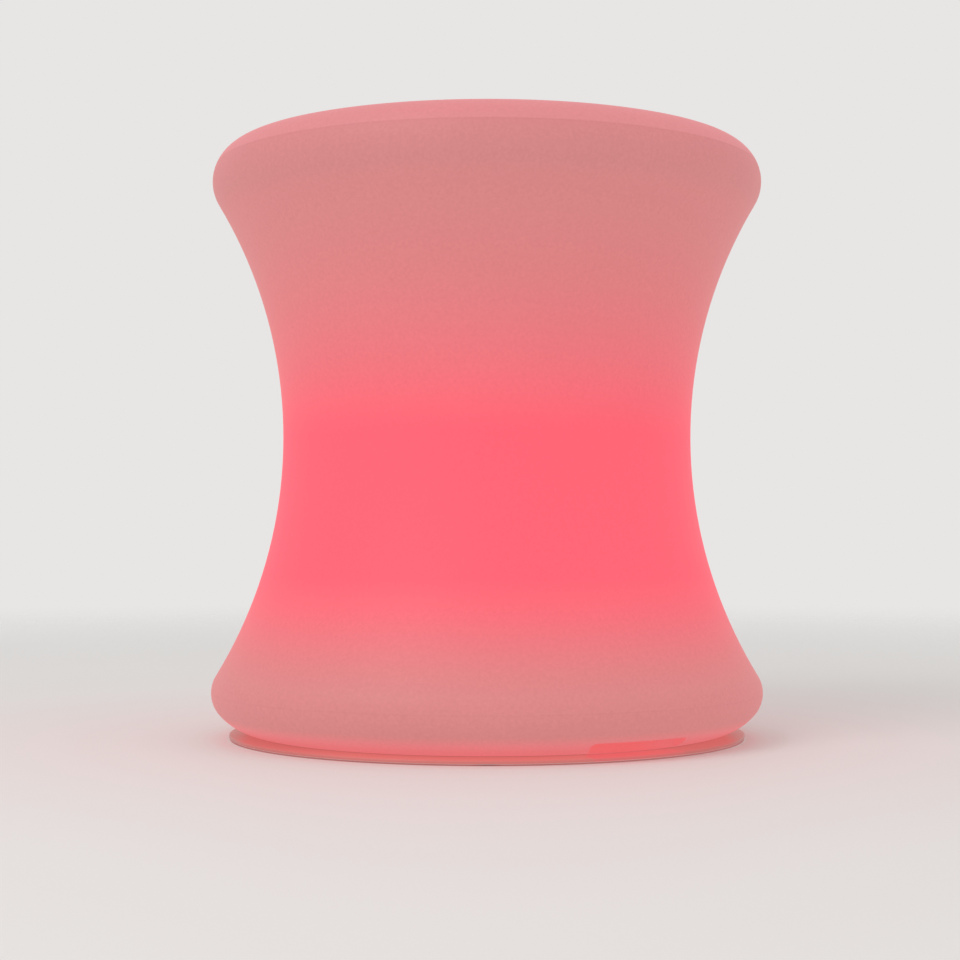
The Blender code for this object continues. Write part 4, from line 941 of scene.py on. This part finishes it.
def plate_tree():
    """Turns the plate, adds its ribs and bosses, and cuts the pockets and screw holes."""
    section, given, finish = new_tree("base_plate", "Ribs", "Rib Width", "Pads")
    plate = turned(section, given["Segments"], TURN_CIRCLE)
    rib_size = section.vector(X=RIB_OUTER_RADIUS - RIB_INNER_RADIUS, Y=given["Rib Width"], Z=RIB_HEIGHT)
    middle = (0, 0, WEB_UNDER - RIB_HEIGHT / 2 + FUSE)
    rib = block(section, rib_size, middle)
    boss = rod(section, LAMP_BOSS_RADIUS, WEB_TOP - FUSE, LAMP_BOSS_TOP)
    ribs = ring_of(rib, given["Ribs"], RIB_RING_RADIUS, 0.0)
    bosses = ring_of(boss, SCREWS, LAMP_SCREW_CIRCLE, SCREW_TURN)
    pocket = rod(section, PAD_RADIUS + SEAT_GAP, PAD_STAND - OVERRUN, PAD_THICKNESS + SEAT_GAP)
    hole = rod(section, BASE_SHANK_RADIUS + SEAT_GAP, WEB_UNDER - OVERRUN, WEB_TOP + OVERRUN)
    pilot = rod(section, TAP_HOLE_RADIUS, WEB_UNDER - OVERRUN, LAMP_PILOT_TOP)
    cuts = [
        ring_of(pocket, given["Pads"], PAD_CIRCLE, PAD_TURN),
        ring_of(hole, SCREWS, BASE_SCREW_CIRCLE, SCREW_TURN),
        ring_of(pilot, SCREWS, LAMP_SCREW_CIRCLE, SCREW_TURN),
    ]
    return finish(smoothed(carved(joined(plate, ribs, bosses), *cuts)))


def pilot_hole(start, top, place=(0, 0)):
    """The hole that a small screw cuts its thread in, down from the top of a post."""
    return rod(start, TAP_HOLE_RADIUS, top - POST_PILOT_DEPTH, top + OVERRUN, place)


def housing_tree():
    """Turns the lamp housing, adds its posts and the flap's ears, and cuts its holes."""
    section, given, finish = new_tree("lamp_housing")
    cup = turned(section, given["Segments"], TURN_CIRCLE)
    ear_low = DISH_UNDER - EAR_RADIUS - KNUCKLE_RADIUS - SEAT_GAP
    ear_height = DISH_UNDER + FUSE - ear_low
    raised = []
    sunk = []
    for side in (-1, 1):
        x = side * (EAR_GAP + EAR_THICKNESS / 2)
        size = (EAR_THICKNESS, 2 * EAR_RADIUS, ear_height)
        raised.append(block(section, size, (x, FLAP_HINGE_Y, ear_low + ear_height / 2)))
        place = (side * CRADLE_POST_X, 0)
        raised.append(rod(section, POST_RADIUS, HOUSING_FLANGE_TOP - FUSE, CRADLE_POST_TOP, place))
        sunk.append(pilot_hole(section, CRADLE_POST_TOP, place))
    for circle, foot, top in (
        (LAMP_POST_CIRCLE, HOUSING_FLANGE_TOP, LAMP_POST_TOP),
        (CONTROL_POST_CIRCLE, DISH_TOP, CONTROL_POST_TOP),
    ):
        post = rod(section, POST_RADIUS, foot - FUSE, top)
        raised.append(ring_of(post, POSTS, circle, POST_TURN))
        sunk.append(ring_of(pilot_hole(section, top), POSTS, circle, POST_TURN))
    for side, cap in ((-1, POWER_CAP_RADIUS), (1, COLOUR_CAP_RADIUS)):
        place = (side * BUTTON_X, BUTTON_Y)
        sunk.append(rod(section, cap + SEAT_GAP, DISH_UNDER - OVERRUN, DISH_TOP + OVERRUN, place))
    nose = SOCKET_NOSE_RADIUS + SEAT_GAP
    sunk.append(rod(section, nose, DISH_UNDER - OVERRUN, DISH_TOP + OVERRUN, (0, SOCKET_Y)))
    wide = rod(section, TAP_HEAD_RADIUS + SEAT_GAP, HOUSING_FLANGE_LOW - OVERRUN, LAMP_SCREW_SEAT + SEAT_GAP)
    narrow = rod(section, TAP_HOLE_RADIUS, HOUSING_FLANGE_LOW, HOUSING_FLANGE_TOP + OVERRUN)
    for hole in (wide, narrow):
        sunk.append(ring_of(hole, SCREWS, LAMP_SCREW_CIRCLE, SCREW_TURN))
    hinge = (0, FLAP_HINGE_Y, FLAP_HINGE_HEIGHT)
    sunk.append(crossbar(section, TRUNNION_RADIUS + SEAT_GAP, EAR_GAP + TRUNNION_LENGTH, hinge))
    return finish(smoothed(carved(joined(cup, *raised), *sunk)))


def turned_tree():
    """A small turned piece, put at its place."""
    section, given, finish = new_tree("turned_piece", "Place")
    shape = turned(section, given["Segments"], SMALL_CIRCLE)
    return finish(moved(smoothed(shape), given["Place"]))


def screw_tree():
    """A screw that points up, with a cross pressed into its head, put at its place."""
    section, given, finish = new_tree("screw", "Head Radius", "Head Height", "Place")
    shape = turned(section, given["Segments"], SMALL_CIRCLE)
    long = given["Head Radius"] * CROSS_LENGTH_SHARE
    thin = given["Head Radius"] * CROSS_WIDTH_SHARE
    deep = given["Head Height"] * CROSS_DEPTH_SHARE * 2
    drop = long.vector(Z=given["Head Height"] * -1)
    first = block(long, long.vector(X=long, Y=thin, Z=deep), drop)
    second = block(long, long.vector(X=thin, Y=long, Z=deep), drop)
    cut = carved(shape, joined(first, second))
    return finish(moved(smoothed(cut), given["Place"]))


def socket_tree():
    """The socket's nose on its block, with the bore and the pin in it."""
    section, given, finish = new_tree("charging_socket")
    nose = moved(turned(section, given["Segments"], SMALL_CIRCLE), (0, SOCKET_Y, 0))
    size = (SOCKET_WIDTH, SOCKET_LENGTH, SOCKET_TOP - SOCKET_LOW)
    body = block(section, size, (0, SOCKET_Y, (SOCKET_LOW + SOCKET_TOP) / 2))
    place = (0, SOCKET_Y)
    bore = rod(section, SOCKET_BORE_RADIUS, SOCKET_MOUTH - OVERRUN, SOCKET_TOP - SOCKET_BACK, place)
    hollow = carved(joined(nose, body), bore)
    tip = SOCKET_MOUTH + SOCKET_PIN_SETBACK
    pin = rod(section, SOCKET_PIN_RADIUS, tip, SOCKET_TOP - SOCKET_BACK + FUSE, place)
    return finish(smoothed(joined(hollow, pin)))


def flap_tree():
    """The flap's disc, its arm and pull tab, and the knuckle that turns in the ears."""
    section, given, finish = new_tree("socket_flap")
    disc = moved(turned(section, given["Segments"], SMALL_CIRCLE), (0, SOCKET_Y, 0))
    top = DISH_UNDER - 3 * SEAT_GAP
    low = DISH_UNDER - SEAT_GAP - FLAP_THICKNESS
    middle = (low + top) / 2
    arm = block(section, (FLAP_ARM_WIDTH, FLAP_REACH, top - low), (0, SOCKET_Y + FLAP_REACH / 2, middle))
    half = FLAP_ARM_WIDTH / 2
    tab_end = SOCKET_Y - FLAP_RADIUS - FLAP_TAB_LENGTH
    tab_length = SOCKET_Y - tab_end - half
    tab = block(section, (FLAP_ARM_WIDTH, tab_length, top - low), (0, SOCKET_Y - tab_length / 2, middle))
    tip = rod(section, half, low, top, (0, tab_end + half))
    hinge = (0, FLAP_HINGE_Y, FLAP_HINGE_HEIGHT)
    knuckle = crossbar(section, KNUCKLE_RADIUS, KNUCKLE_WIDTH / 2, hinge)
    pin = crossbar(section, TRUNNION_RADIUS, KNUCKLE_WIDTH / 2 + TRUNNION_LENGTH, hinge)
    return finish(smoothed(joined(disc, arm, tab, tip, knuckle, pin)))


def plate_outline():
    """The base plate's section, from its hole along the underside to the lip and back over the top."""
    edge = PLATE_EDGE_RADIUS
    half_rib = RIB_WIDTH / 2
    points = [
        (LAMP_HOLE_RADIUS, WEB_TOP),
        (STEP_RADIUS - STEP_DRAFT, WEB_TOP),
        (STEP_RADIUS, LIP_TOP),
    ]
    points += arc((PLATE_RADIUS - edge, LIP_TOP - edge), edge, math.pi / 2, 0, ROUND_STEPS)
    points += arc((PLATE_RADIUS - edge, PAD_STAND + edge), edge, 0, -math.pi / 2, ROUND_STEPS)
    points += [
        (STEP_RADIUS - PLATE_THICKNESS, PAD_STAND),
        (STEP_RADIUS - PLATE_THICKNESS - STEP_DRAFT, WEB_UNDER),
        (RIB_RING_RADIUS + half_rib, WEB_UNDER),
        (RIB_RING_RADIUS + half_rib, WEB_UNDER - RIB_HEIGHT),
        (RIB_RING_RADIUS - half_rib, WEB_UNDER - RIB_HEIGHT),
        (RIB_RING_RADIUS - half_rib, WEB_UNDER),
        (LAMP_HOLE_RADIUS, WEB_UNDER),
    ]
    return points


def housing_outline():
    """The lamp housing's section: cup, flange, and the dish under it with softened edges."""
    edge = HOUSING_EDGE
    soft = DISH_EDGE
    points = [
        (0, DISH_TOP),
        (DISH_RADIUS + DISH_FLOOR, DISH_TOP),
        (DISH_RADIUS + DISH_FLOOR + DISH_DRAFT, HOUSING_FLANGE_TOP),
        (HOUSING_BORE_RADIUS, HOUSING_FLANGE_TOP),
        (HOUSING_BORE_RADIUS, HOUSING_TOP),
        (HOUSING_RADIUS, HOUSING_TOP),
        (HOUSING_RADIUS, HOUSING_FLANGE_TOP),
        (HOUSING_FLANGE_RADIUS, HOUSING_FLANGE_TOP),
    ]
    corner = (HOUSING_FLANGE_RADIUS - edge, HOUSING_FLANGE_LOW + edge)
    points += arc(corner, edge, 0, -math.pi / 2, ROUND_STEPS)
    mouth = (DISH_RADIUS + DISH_DRAFT + soft, HOUSING_FLANGE_LOW + soft)
    points += arc(mouth, soft, -math.pi / 2, -math.pi, ROUND_STEPS)
    points += [(DISH_RADIUS, DISH_UNDER), (0, DISH_UNDER)]
    return points


def pad_outline():
    """A rubber foot with rounded edges and rings pressed into its sole."""
    top = [(0, PAD_THICKNESS), (PAD_RADIUS, PAD_THICKNESS)]
    edge = arc((PAD_RADIUS - PAD_EDGE, PAD_EDGE), PAD_EDGE, 0, -math.pi / 2, ROUND_STEPS)
    pitch = (PAD_RADIUS - PAD_EDGE) / (PAD_GROOVES + 1)
    rings = []
    for index in range(PAD_GROOVES, 0, -1):
        middle = pitch * index
        quarter = pitch / 4
        rings += [
            (middle + quarter, 0),
            (middle + quarter / 2, PAD_GROOVE_DEPTH),
            (middle - quarter / 2, PAD_GROOVE_DEPTH),
            (middle - quarter, 0),
        ]
    return top + edge + rings + [(0, 0)]


def screw_section(shank, length, head, head_height):
    """A screw that points up, its head a low dome below the seat at height 0."""
    dome = [
        (head * math.cos(turn), -head_height * math.sin(turn))
        for turn in (math.pi / 2 * step / EDGE_STEPS for step in range(EDGE_STEPS))
    ]
    return [(0, length), (shank, length - shank), (shank, 0)] + dome + [(0, -head_height)]


def button_outline(cap):
    """A cap with a rounded edge and a shallow hollow for the fingertip, its flange and its stem."""
    flange = DISH_FLOOR + SEAT_GAP
    flange_top = flange + BUTTON_FLANGE_THICKNESS
    edge = BUTTON_EDGE
    points = [
        (0, STEM_TOP - DISH_UNDER),
        (STEM_RADIUS, STEM_TOP - DISH_UNDER),
        (STEM_RADIUS, flange_top),
        (cap + BUTTON_FLANGE, flange_top),
        (cap + BUTTON_FLANGE, flange),
        (cap, flange),
    ]
    points += arc((cap - edge, edge - BUTTON_PROUD), edge, 0, -math.pi / 2, ROUND_STEPS)
    inner = cap - 2 * edge
    for step in range(EDGE_STEPS + 1):
        share = 1 - step / EDGE_STEPS
        rise = BUTTON_HOLLOW * (1 - share**2)
        points.append((inner * share, rise - BUTTON_PROUD))
    return points


def flap_outline():
    """The flap's disc, its edges rounded, with a shallow ring moulded in its underside."""
    top = DISH_UNDER - 2 * SEAT_GAP
    low = top - FLAP_THICKNESS
    edge = FLAP_EDGE
    points = [(0, top)]
    points += arc((FLAP_RADIUS - edge, top - edge), edge, math.pi / 2, 0, ROUND_STEPS)
    points += arc((FLAP_RADIUS - edge, low + edge), edge, 0, -math.pi / 2, ROUND_STEPS)
    ring = FLAP_RADIUS - 3 * edge
    points += [(ring, low), (ring - edge / 2, low + edge / 2), (ring - edge, low), (0, low)]
    return points


def nose_outline():
    """The socket's round nose, its mouth edge rounded."""
    edge = FLAP_EDGE
    points = [(0, SOCKET_LOW + FUSE), (SOCKET_NOSE_RADIUS, SOCKET_LOW + FUSE)]
    corner = (SOCKET_NOSE_RADIUS - edge, SOCKET_MOUTH + edge)
    points += arc(corner, edge, 0, -math.pi / 2, ROUND_STEPS)
    return points + [(0, SOCKET_MOUTH)]


def grown(source, tree, values, name):
    """Runs the tree on the source object and keeps the result as a plain mesh object."""
    modifier = source.modifiers.new(name, "NODES")
    modifier.node_group = tree
    for item in tree.interface.items_tree:
        if item.in_out == "INPUT" and item.name in values:
            modifier[item.identifier] = values[item.name]
    source.update_tag()
    graph = bpy.context.evaluated_depsgraph_get()
    mesh = bpy.data.meshes.new_from_object(source.evaluated_get(graph), depsgraph=graph)
    source.modifiers.remove(modifier)
    mesh.name = name
    obj = linked(name, mesh)
    bpy.data.objects.remove(source, do_unlink=True)
    if not mesh.polygons:
        raise RuntimeError(f"{name} came out empty")
    return obj


def chosen_sizes(group, *titles):
    """The user's sizes, by the names of the tree's inputs."""
    return {title: getattr(group, title.lower().replace(" ", "_")) for title in titles}


def around(circle, count, first, height):
    """Places round +Z, numbered from 1."""
    for index in range(count):
        turn = first + 2 * math.pi * index / count
        yield index + 1, (circle * math.cos(turn), circle * math.sin(turn), height)


def dress(node, outline, tree, values, body, slot, circle=TURN_CIRCLE):
    """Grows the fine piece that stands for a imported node, and hands it over to the frame."""
    section = section_curve(f"{node}_section", outline, circle)
    obj = grown(section, tree, {**values, "Material": finish_of(slot)}, f"{node}_fine")
    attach(obj, body)
    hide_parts(node)


def colour_property(name, description, default):
    """A colour that the user can change."""
    return FloatVectorProperty(
        name=name, description=description, default=default, subtype="COLOR", min=0.0, max=1.0
    )


def length_property(name, description, default):
    """A length that the user can change."""
    return FloatProperty(name=name, description=description, default=default, unit="LENGTH")


def power_property(name, description, default):
    """A light's power that the user can change."""
    return FloatProperty(name=name, description=description, default=default, unit="POWER")


def segments_property(description):
    """The facets of a turned piece, as many as the user wants."""
    return IntProperty(name="Segments", description=description, default=TURN_SEGMENTS, min=12)


class StoolShellSettings(bpy.types.PropertyGroup):
    """Sizes and colours of the moulded body."""

    rim_glow: colour_property("Rim glow", "Light that the rims give off", RIM_GLOW)
    waist_glow: colour_property("Waist glow", "Light that the waist gives off", WAIST_GLOW)
    segments: segments_property("Facets round the body")
    grip_turn: FloatProperty(
        name="Grip turn",
        description="Where the grip recess sits, from the front towards the right",
        default=GRIP_TURN,
        subtype="ANGLE",
    )
    grip_width: length_property("Grip width", "Width of the grip recess", GRIP_WIDTH)
    grip_top: length_property("Grip top", "Height of the recess's ceiling", GRIP_TOP)
    grip_back: length_property("Grip back", "Radius of the recess's back wall", GRIP_BACK)
    light_height: length_property(
        "Light height", "Height that the light inside seems to come from", LIGHT_HEIGHT
    )


class StoolBaseSettings(bpy.types.PropertyGroup):
    """Sizes and colours of the base plate and its feet."""

    plate_colour: colour_property("Plate", "Colour of the base plate", PLATE_BASE)
    foot_colour: colour_property("Feet", "Colour of the rubber feet", FOOT_COLOUR)
    segments: segments_property("Facets round the base")
    ribs: IntProperty(name="Ribs", description="Number of straight ribs", default=RIBS, min=3)
    rib_width: length_property("Rib width", "Width of a rib", RIB_WIDTH)


class StoolControlsSettings(bpy.types.PropertyGroup):
    """Sizes and colours of what sits in the dish."""

    housing_colour: colour_property("Housing", "Colour of the lamp housing", HOUSING_COLOUR)
    power_colour: colour_property("Power button", "Colour of the power button", POWER_COLOUR)
    key_colour: colour_property("Colour button", "Tint of the colour button", COLOUR_KEY_COLOUR)
    flap_colour: colour_property("Flap", "Colour of the socket's flap", FLAP_COLOUR)
    power_radius: length_property(
        "Power button radius", "Radius of the power button's cap", POWER_CAP_RADIUS
    )
    key_radius: length_property(
        "Colour button radius", "Radius of the colour button's cap", COLOUR_CAP_RADIUS
    )


class StoolStageSettings(bpy.types.PropertyGroup):
    """Camera, lights and colours of the studio."""

    floor_colour: colour_property("Floor", "Colour of the floor", FLOOR_COLOUR)
    sky_colour: colour_property("Background", "Colour of the surroundings", SKY_COLOUR)
    lens: FloatProperty(name="Lens", description="Focal length", default=CAMERA_LENS, unit="CAMERA")
    key_power: power_property("Key light", "Power of the key light", KEY_POWER)
    fill_power: power_property("Fill light", "Power of the fill light", FILL_POWER)


class OBJECT_OT_stool_finishes(bpy.types.Operator):
    """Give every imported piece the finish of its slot"""

    bl_idname = "object.stool_finishes"
    bl_label = "Finish Pieces"

    def execute(self, context):
        scene = context.scene
        materials = slot_materials(scene.stool_shell, scene.stool_base, scene.stool_controls)
        slots = {entry["node"]: entry["material_slot"] for entry in frame["record"]["subparts"]}
        bare = sorted(name for name in frame["nodes"] if slots.get(name) not in materials)
        if bare:
            raise RuntimeError(f"these pieces have no finish: {bare}")
        for name, node in frame["nodes"].items():
            paint(node, materials[slots[name]])
        return {"FINISHED"}


class OBJECT_OT_stool_shell(bpy.types.Operator):
    """Turn the smooth body of the stool and store the lamp's light on it"""

    bl_idname = "object.stool_shell"
    bl_label = "Stool Body"

    def execute(self, context):
        values = chosen_sizes(context.scene.stool_shell, "Segments", *GRIP_INPUTS, "Light Height")
        dress("stool_shell", shell_outline(), shell_tree(), values, "stool", "body")
        return {"FINISHED"}


class OBJECT_OT_stool_base(bpy.types.Operator):
    """Turn the base plate with its ribs, pockets and holes, and the lamp housing in it"""

    bl_idname = "object.stool_base"
    bl_label = "Base and Lamp Housing"

    def execute(self, context):
        chosen = context.scene.stool_base
        values = {**chosen_sizes(chosen, "Segments", "Ribs", "Rib Width"), "Pads": PADS}
        dress("base_plate", plate_outline(), plate_tree(), values, "stool", "base")
        values = chosen_sizes(chosen, "Segments")
        dress("lamp_housing", housing_outline(), housing_tree(), values, "stool", "lamp_plastic")
        return {"FINISHED"}


class OBJECT_OT_stool_feet(bpy.types.Operator):
    """Turn the six rubber feet"""

    bl_idname = "object.stool_feet"
    bl_label = "Feet"

    def execute(self, context):
        tree = turned_tree()
        for number, place in around(PAD_CIRCLE, PADS, PAD_TURN, 0):
            values = {"Segments": SMALL_SEGMENTS, "Place": place}
            dress(f"foot_pad_{number}", pad_outline(), tree, values, "stool", "foot", SMALL_CIRCLE)
        return {"FINISHED"}


class OBJECT_OT_stool_screws(bpy.types.Operator):
    """Turn the screws that show underneath and press a cross into each head"""

    bl_idname = "object.stool_screws"
    bl_label = "Screws"

    def execute(self, context):
        tree = screw_tree()
        base = (BASE_SHANK_RADIUS, BASE_SCREW_LENGTH, BASE_HEAD_RADIUS, BASE_HEAD_HEIGHT)
        lamp = (TAP_SHANK_RADIUS, LAMP_SCREW_LENGTH, TAP_HEAD_RADIUS, TAP_HEAD_HEIGHT)
        for name, circle, seat, sizes in (
            ("base_screw", BASE_SCREW_CIRCLE, BASE_SCREW_SEAT, base),
            ("lamp_screw", LAMP_SCREW_CIRCLE, LAMP_SCREW_SEAT, lamp),
        ):
            shank, length, head, height = sizes
            outline = screw_section(shank, length, head, height)
            values = {"Segments": SMALL_SEGMENTS, "Head Radius": head, "Head Height": height}
            for number, place in around(circle, SCREWS, SCREW_TURN, seat):
                placed = {**values, "Place": place}
                dress(f"{name}_{number}", outline, tree, placed, "stool", "screw", SMALL_CIRCLE)
        return {"FINISHED"}


class OBJECT_OT_stool_controls(bpy.types.Operator):
    """Turn the two buttons and make the charging socket and its flap"""

    bl_idname = "object.stool_controls"
    bl_label = "Buttons and Socket"

    def execute(self, context):
        chosen = context.scene.stool_controls
        tree = turned_tree()
        for name, body, slot, side, cap in (
            ("power_button", "power_key", "power_cap", -1, chosen.power_radius),
            ("colour_button", "colour_key", "colour_cap", 1, chosen.key_radius),
        ):
            values = {"Segments": SMALL_SEGMENTS, "Place": (side * BUTTON_X, BUTTON_Y, DISH_UNDER)}
            dress(name, button_outline(cap), tree, values, body, slot, SMALL_CIRCLE)
        values = {"Segments": SMALL_SEGMENTS}
        dress(
            "charging_socket", nose_outline(), socket_tree(), values, "stool", "black_plastic", SMALL_CIRCLE
        )
        dress("socket_flap", flap_outline(), flap_tree(), values, "charge_flap", "flap", SMALL_CIRCLE)
        return {"FINISHED"}


def floor_material(colour):
    """Pale floor that fades away, with painted red light from the body under the lip, open to light and
    views from below.
    """
    material, shader, place = new_material("floor")
    distance = (place * (1, 1, 0)).length()
    # Painted red light from the body on the floor under the lip
    clear = distance.step(PLATE_RADIUS - FLOOR_UNDER_BLEND, PLATE_RADIUS)
    coat(shader, {
        "Base Color": clear.mix(FLOOR_GLOW_COLOUR, colour),
        "Roughness": FLOOR_ROUGHNESS + place.noise(FLOOR_GRAIN) * ROUGHNESS_SHARE,
    })
    near = distance.step(FLOOR_FADE_END, FLOOR_FADE_START)
    hole = 1 - distance.step(FLOOR_HOLE_RADIUS - SEAT_GAP, FLOOR_HOLE_RADIUS)
    seen = place.add("ShaderNodeLightPath", None, "Is Camera Ray")
    back = place.add("ShaderNodeNewGeometry", None, "Backfacing")
    feed(shader.inputs["Alpha"], near * (1 - hole * (1 - seen)) * (1 - back))
    return material


def add_floor(colour):
    mesh = bpy.data.meshes.new("floor")
    corners = [(-1, -1), (1, -1), (1, 1), (-1, 1)]
    mesh.from_pydata([(x * FLOOR_RADIUS, y * FLOOR_RADIUS, 0) for x, y in corners], [], [(0, 1, 2, 3)])
    floor = linked("floor", mesh)
    paint(floor, floor_material(colour))


def add_sky(colour):
    """Plain pale surroundings: one tone for the camera, a softer one as light."""
    world = bpy.data.worlds.new("studio")
    world.use_nodes = True
    bpy.context.scene.world = world
    backdrop = world.node_tree.nodes["Background"]
    path = world.node_tree.nodes.new("ShaderNodeLightPath")
    seen = Wire(path.outputs["Is Camera Ray"])
    backdrop.inputs["Color"].default_value = (*colour, 1.0)
    feed(backdrop.inputs["Strength"], seen * (1 - SKY_LIGHT) + SKY_LIGHT)


def add_light(name, place, size, power):
    data = bpy.data.lights.new(name, "AREA")
    data.shape = "DISK"
    data.size = size
    data.energy = power
    light = linked(name, data)
    light.location = place
    aim = light.location.copy()
    aim.z -= AIM_HEIGHT
    light.rotation_euler = aim.to_track_quat("Z", "Y").to_euler()


def add_camera(lens):
    data = bpy.data.cameras.new("camera")
    data.sensor_width = SENSOR_WIDTH
    data.lens = lens
    camera = linked("camera", data)
    camera.location = CAMERA_PLACE
    camera.rotation_euler = (math.pi / 2 + CAMERA_RISE, 0, 0)
    bpy.context.scene.camera = camera


class SCENE_OT_stool_stage(bpy.types.Operator):
    """Set the pale studio, its soft lights and the camera"""

    bl_idname = "scene.stool_stage"
    bl_label = "Studio"

    def execute(self, context):
        chosen = context.scene.stool_stage
        add_floor(chosen.floor_colour)
        add_sky(chosen.sky_colour)
        add_light("key", KEY_PLACE, KEY_SIZE, chosen.key_power)
        add_light("fill", FILL_PLACE, FILL_SIZE, chosen.fill_power)
        add_camera(chosen.lens)
        context.scene.view_settings.view_transform = "Standard"
        if context.scene.camera is None:
            raise RuntimeError("the camera is missing")
        return {"FINISHED"}


class VIEW3D_PT_stool(bpy.types.Panel):
    """Steps of the stool, in order"""

    bl_idname = "VIEW3D_PT_stool"
    bl_label = "Light-up stool"
    bl_space_type = "VIEW_3D"
    bl_region_type = "UI"
    bl_category = "Stool"

    def draw(self, context):
        layout = self.layout
        scene = context.scene
        for title in GROUPS:
            group = getattr(scene, title)
            for name in group.__annotations__:
                layout.prop(group, name)
        for step in STEPS:
            layout.operator(step.bl_idname)


STEPS = (
    OBJECT_OT_stool_finishes,
    OBJECT_OT_stool_shell,
    OBJECT_OT_stool_base,
    OBJECT_OT_stool_feet,
    OBJECT_OT_stool_screws,
    OBJECT_OT_stool_controls,
    SCENE_OT_stool_stage,
)
GROUPS = {
    "stool_shell": StoolShellSettings,
    "stool_base": StoolBaseSettings,
    "stool_controls": StoolControlsSettings,
    "stool_stage": StoolStageSettings,
}
CLASSES = (*GROUPS.values(), *STEPS, VIEW3D_PT_stool)


def register():
    for cls in CLASSES:
        bpy.utils.register_class(cls)
    for title, group in GROUPS.items():
        setattr(bpy.types.Scene, title, PointerProperty(type=group))


def unregister():
    for title in GROUPS:
        delattr(bpy.types.Scene, title)
    for cls in reversed(CLASSES):
        bpy.utils.unregister_class(cls)


def clear_defaults():
    """Removes what a new file starts with."""
    for name in ("Cube", "Light", "Camera"):
        if name in bpy.data.objects:
            bpy.data.objects.remove(bpy.data.objects[name], do_unlink=True)


def main():
    clear_defaults()
    register()
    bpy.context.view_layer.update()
    bpy.ops.object.stool_finishes()
    bpy.ops.object.stool_shell()
    bpy.ops.object.stool_base()
    bpy.ops.object.stool_feet()
    bpy.ops.object.stool_screws()
    bpy.ops.object.stool_controls()
    bpy.ops.scene.stool_stage()


if __name__ == "__main__":
    main()
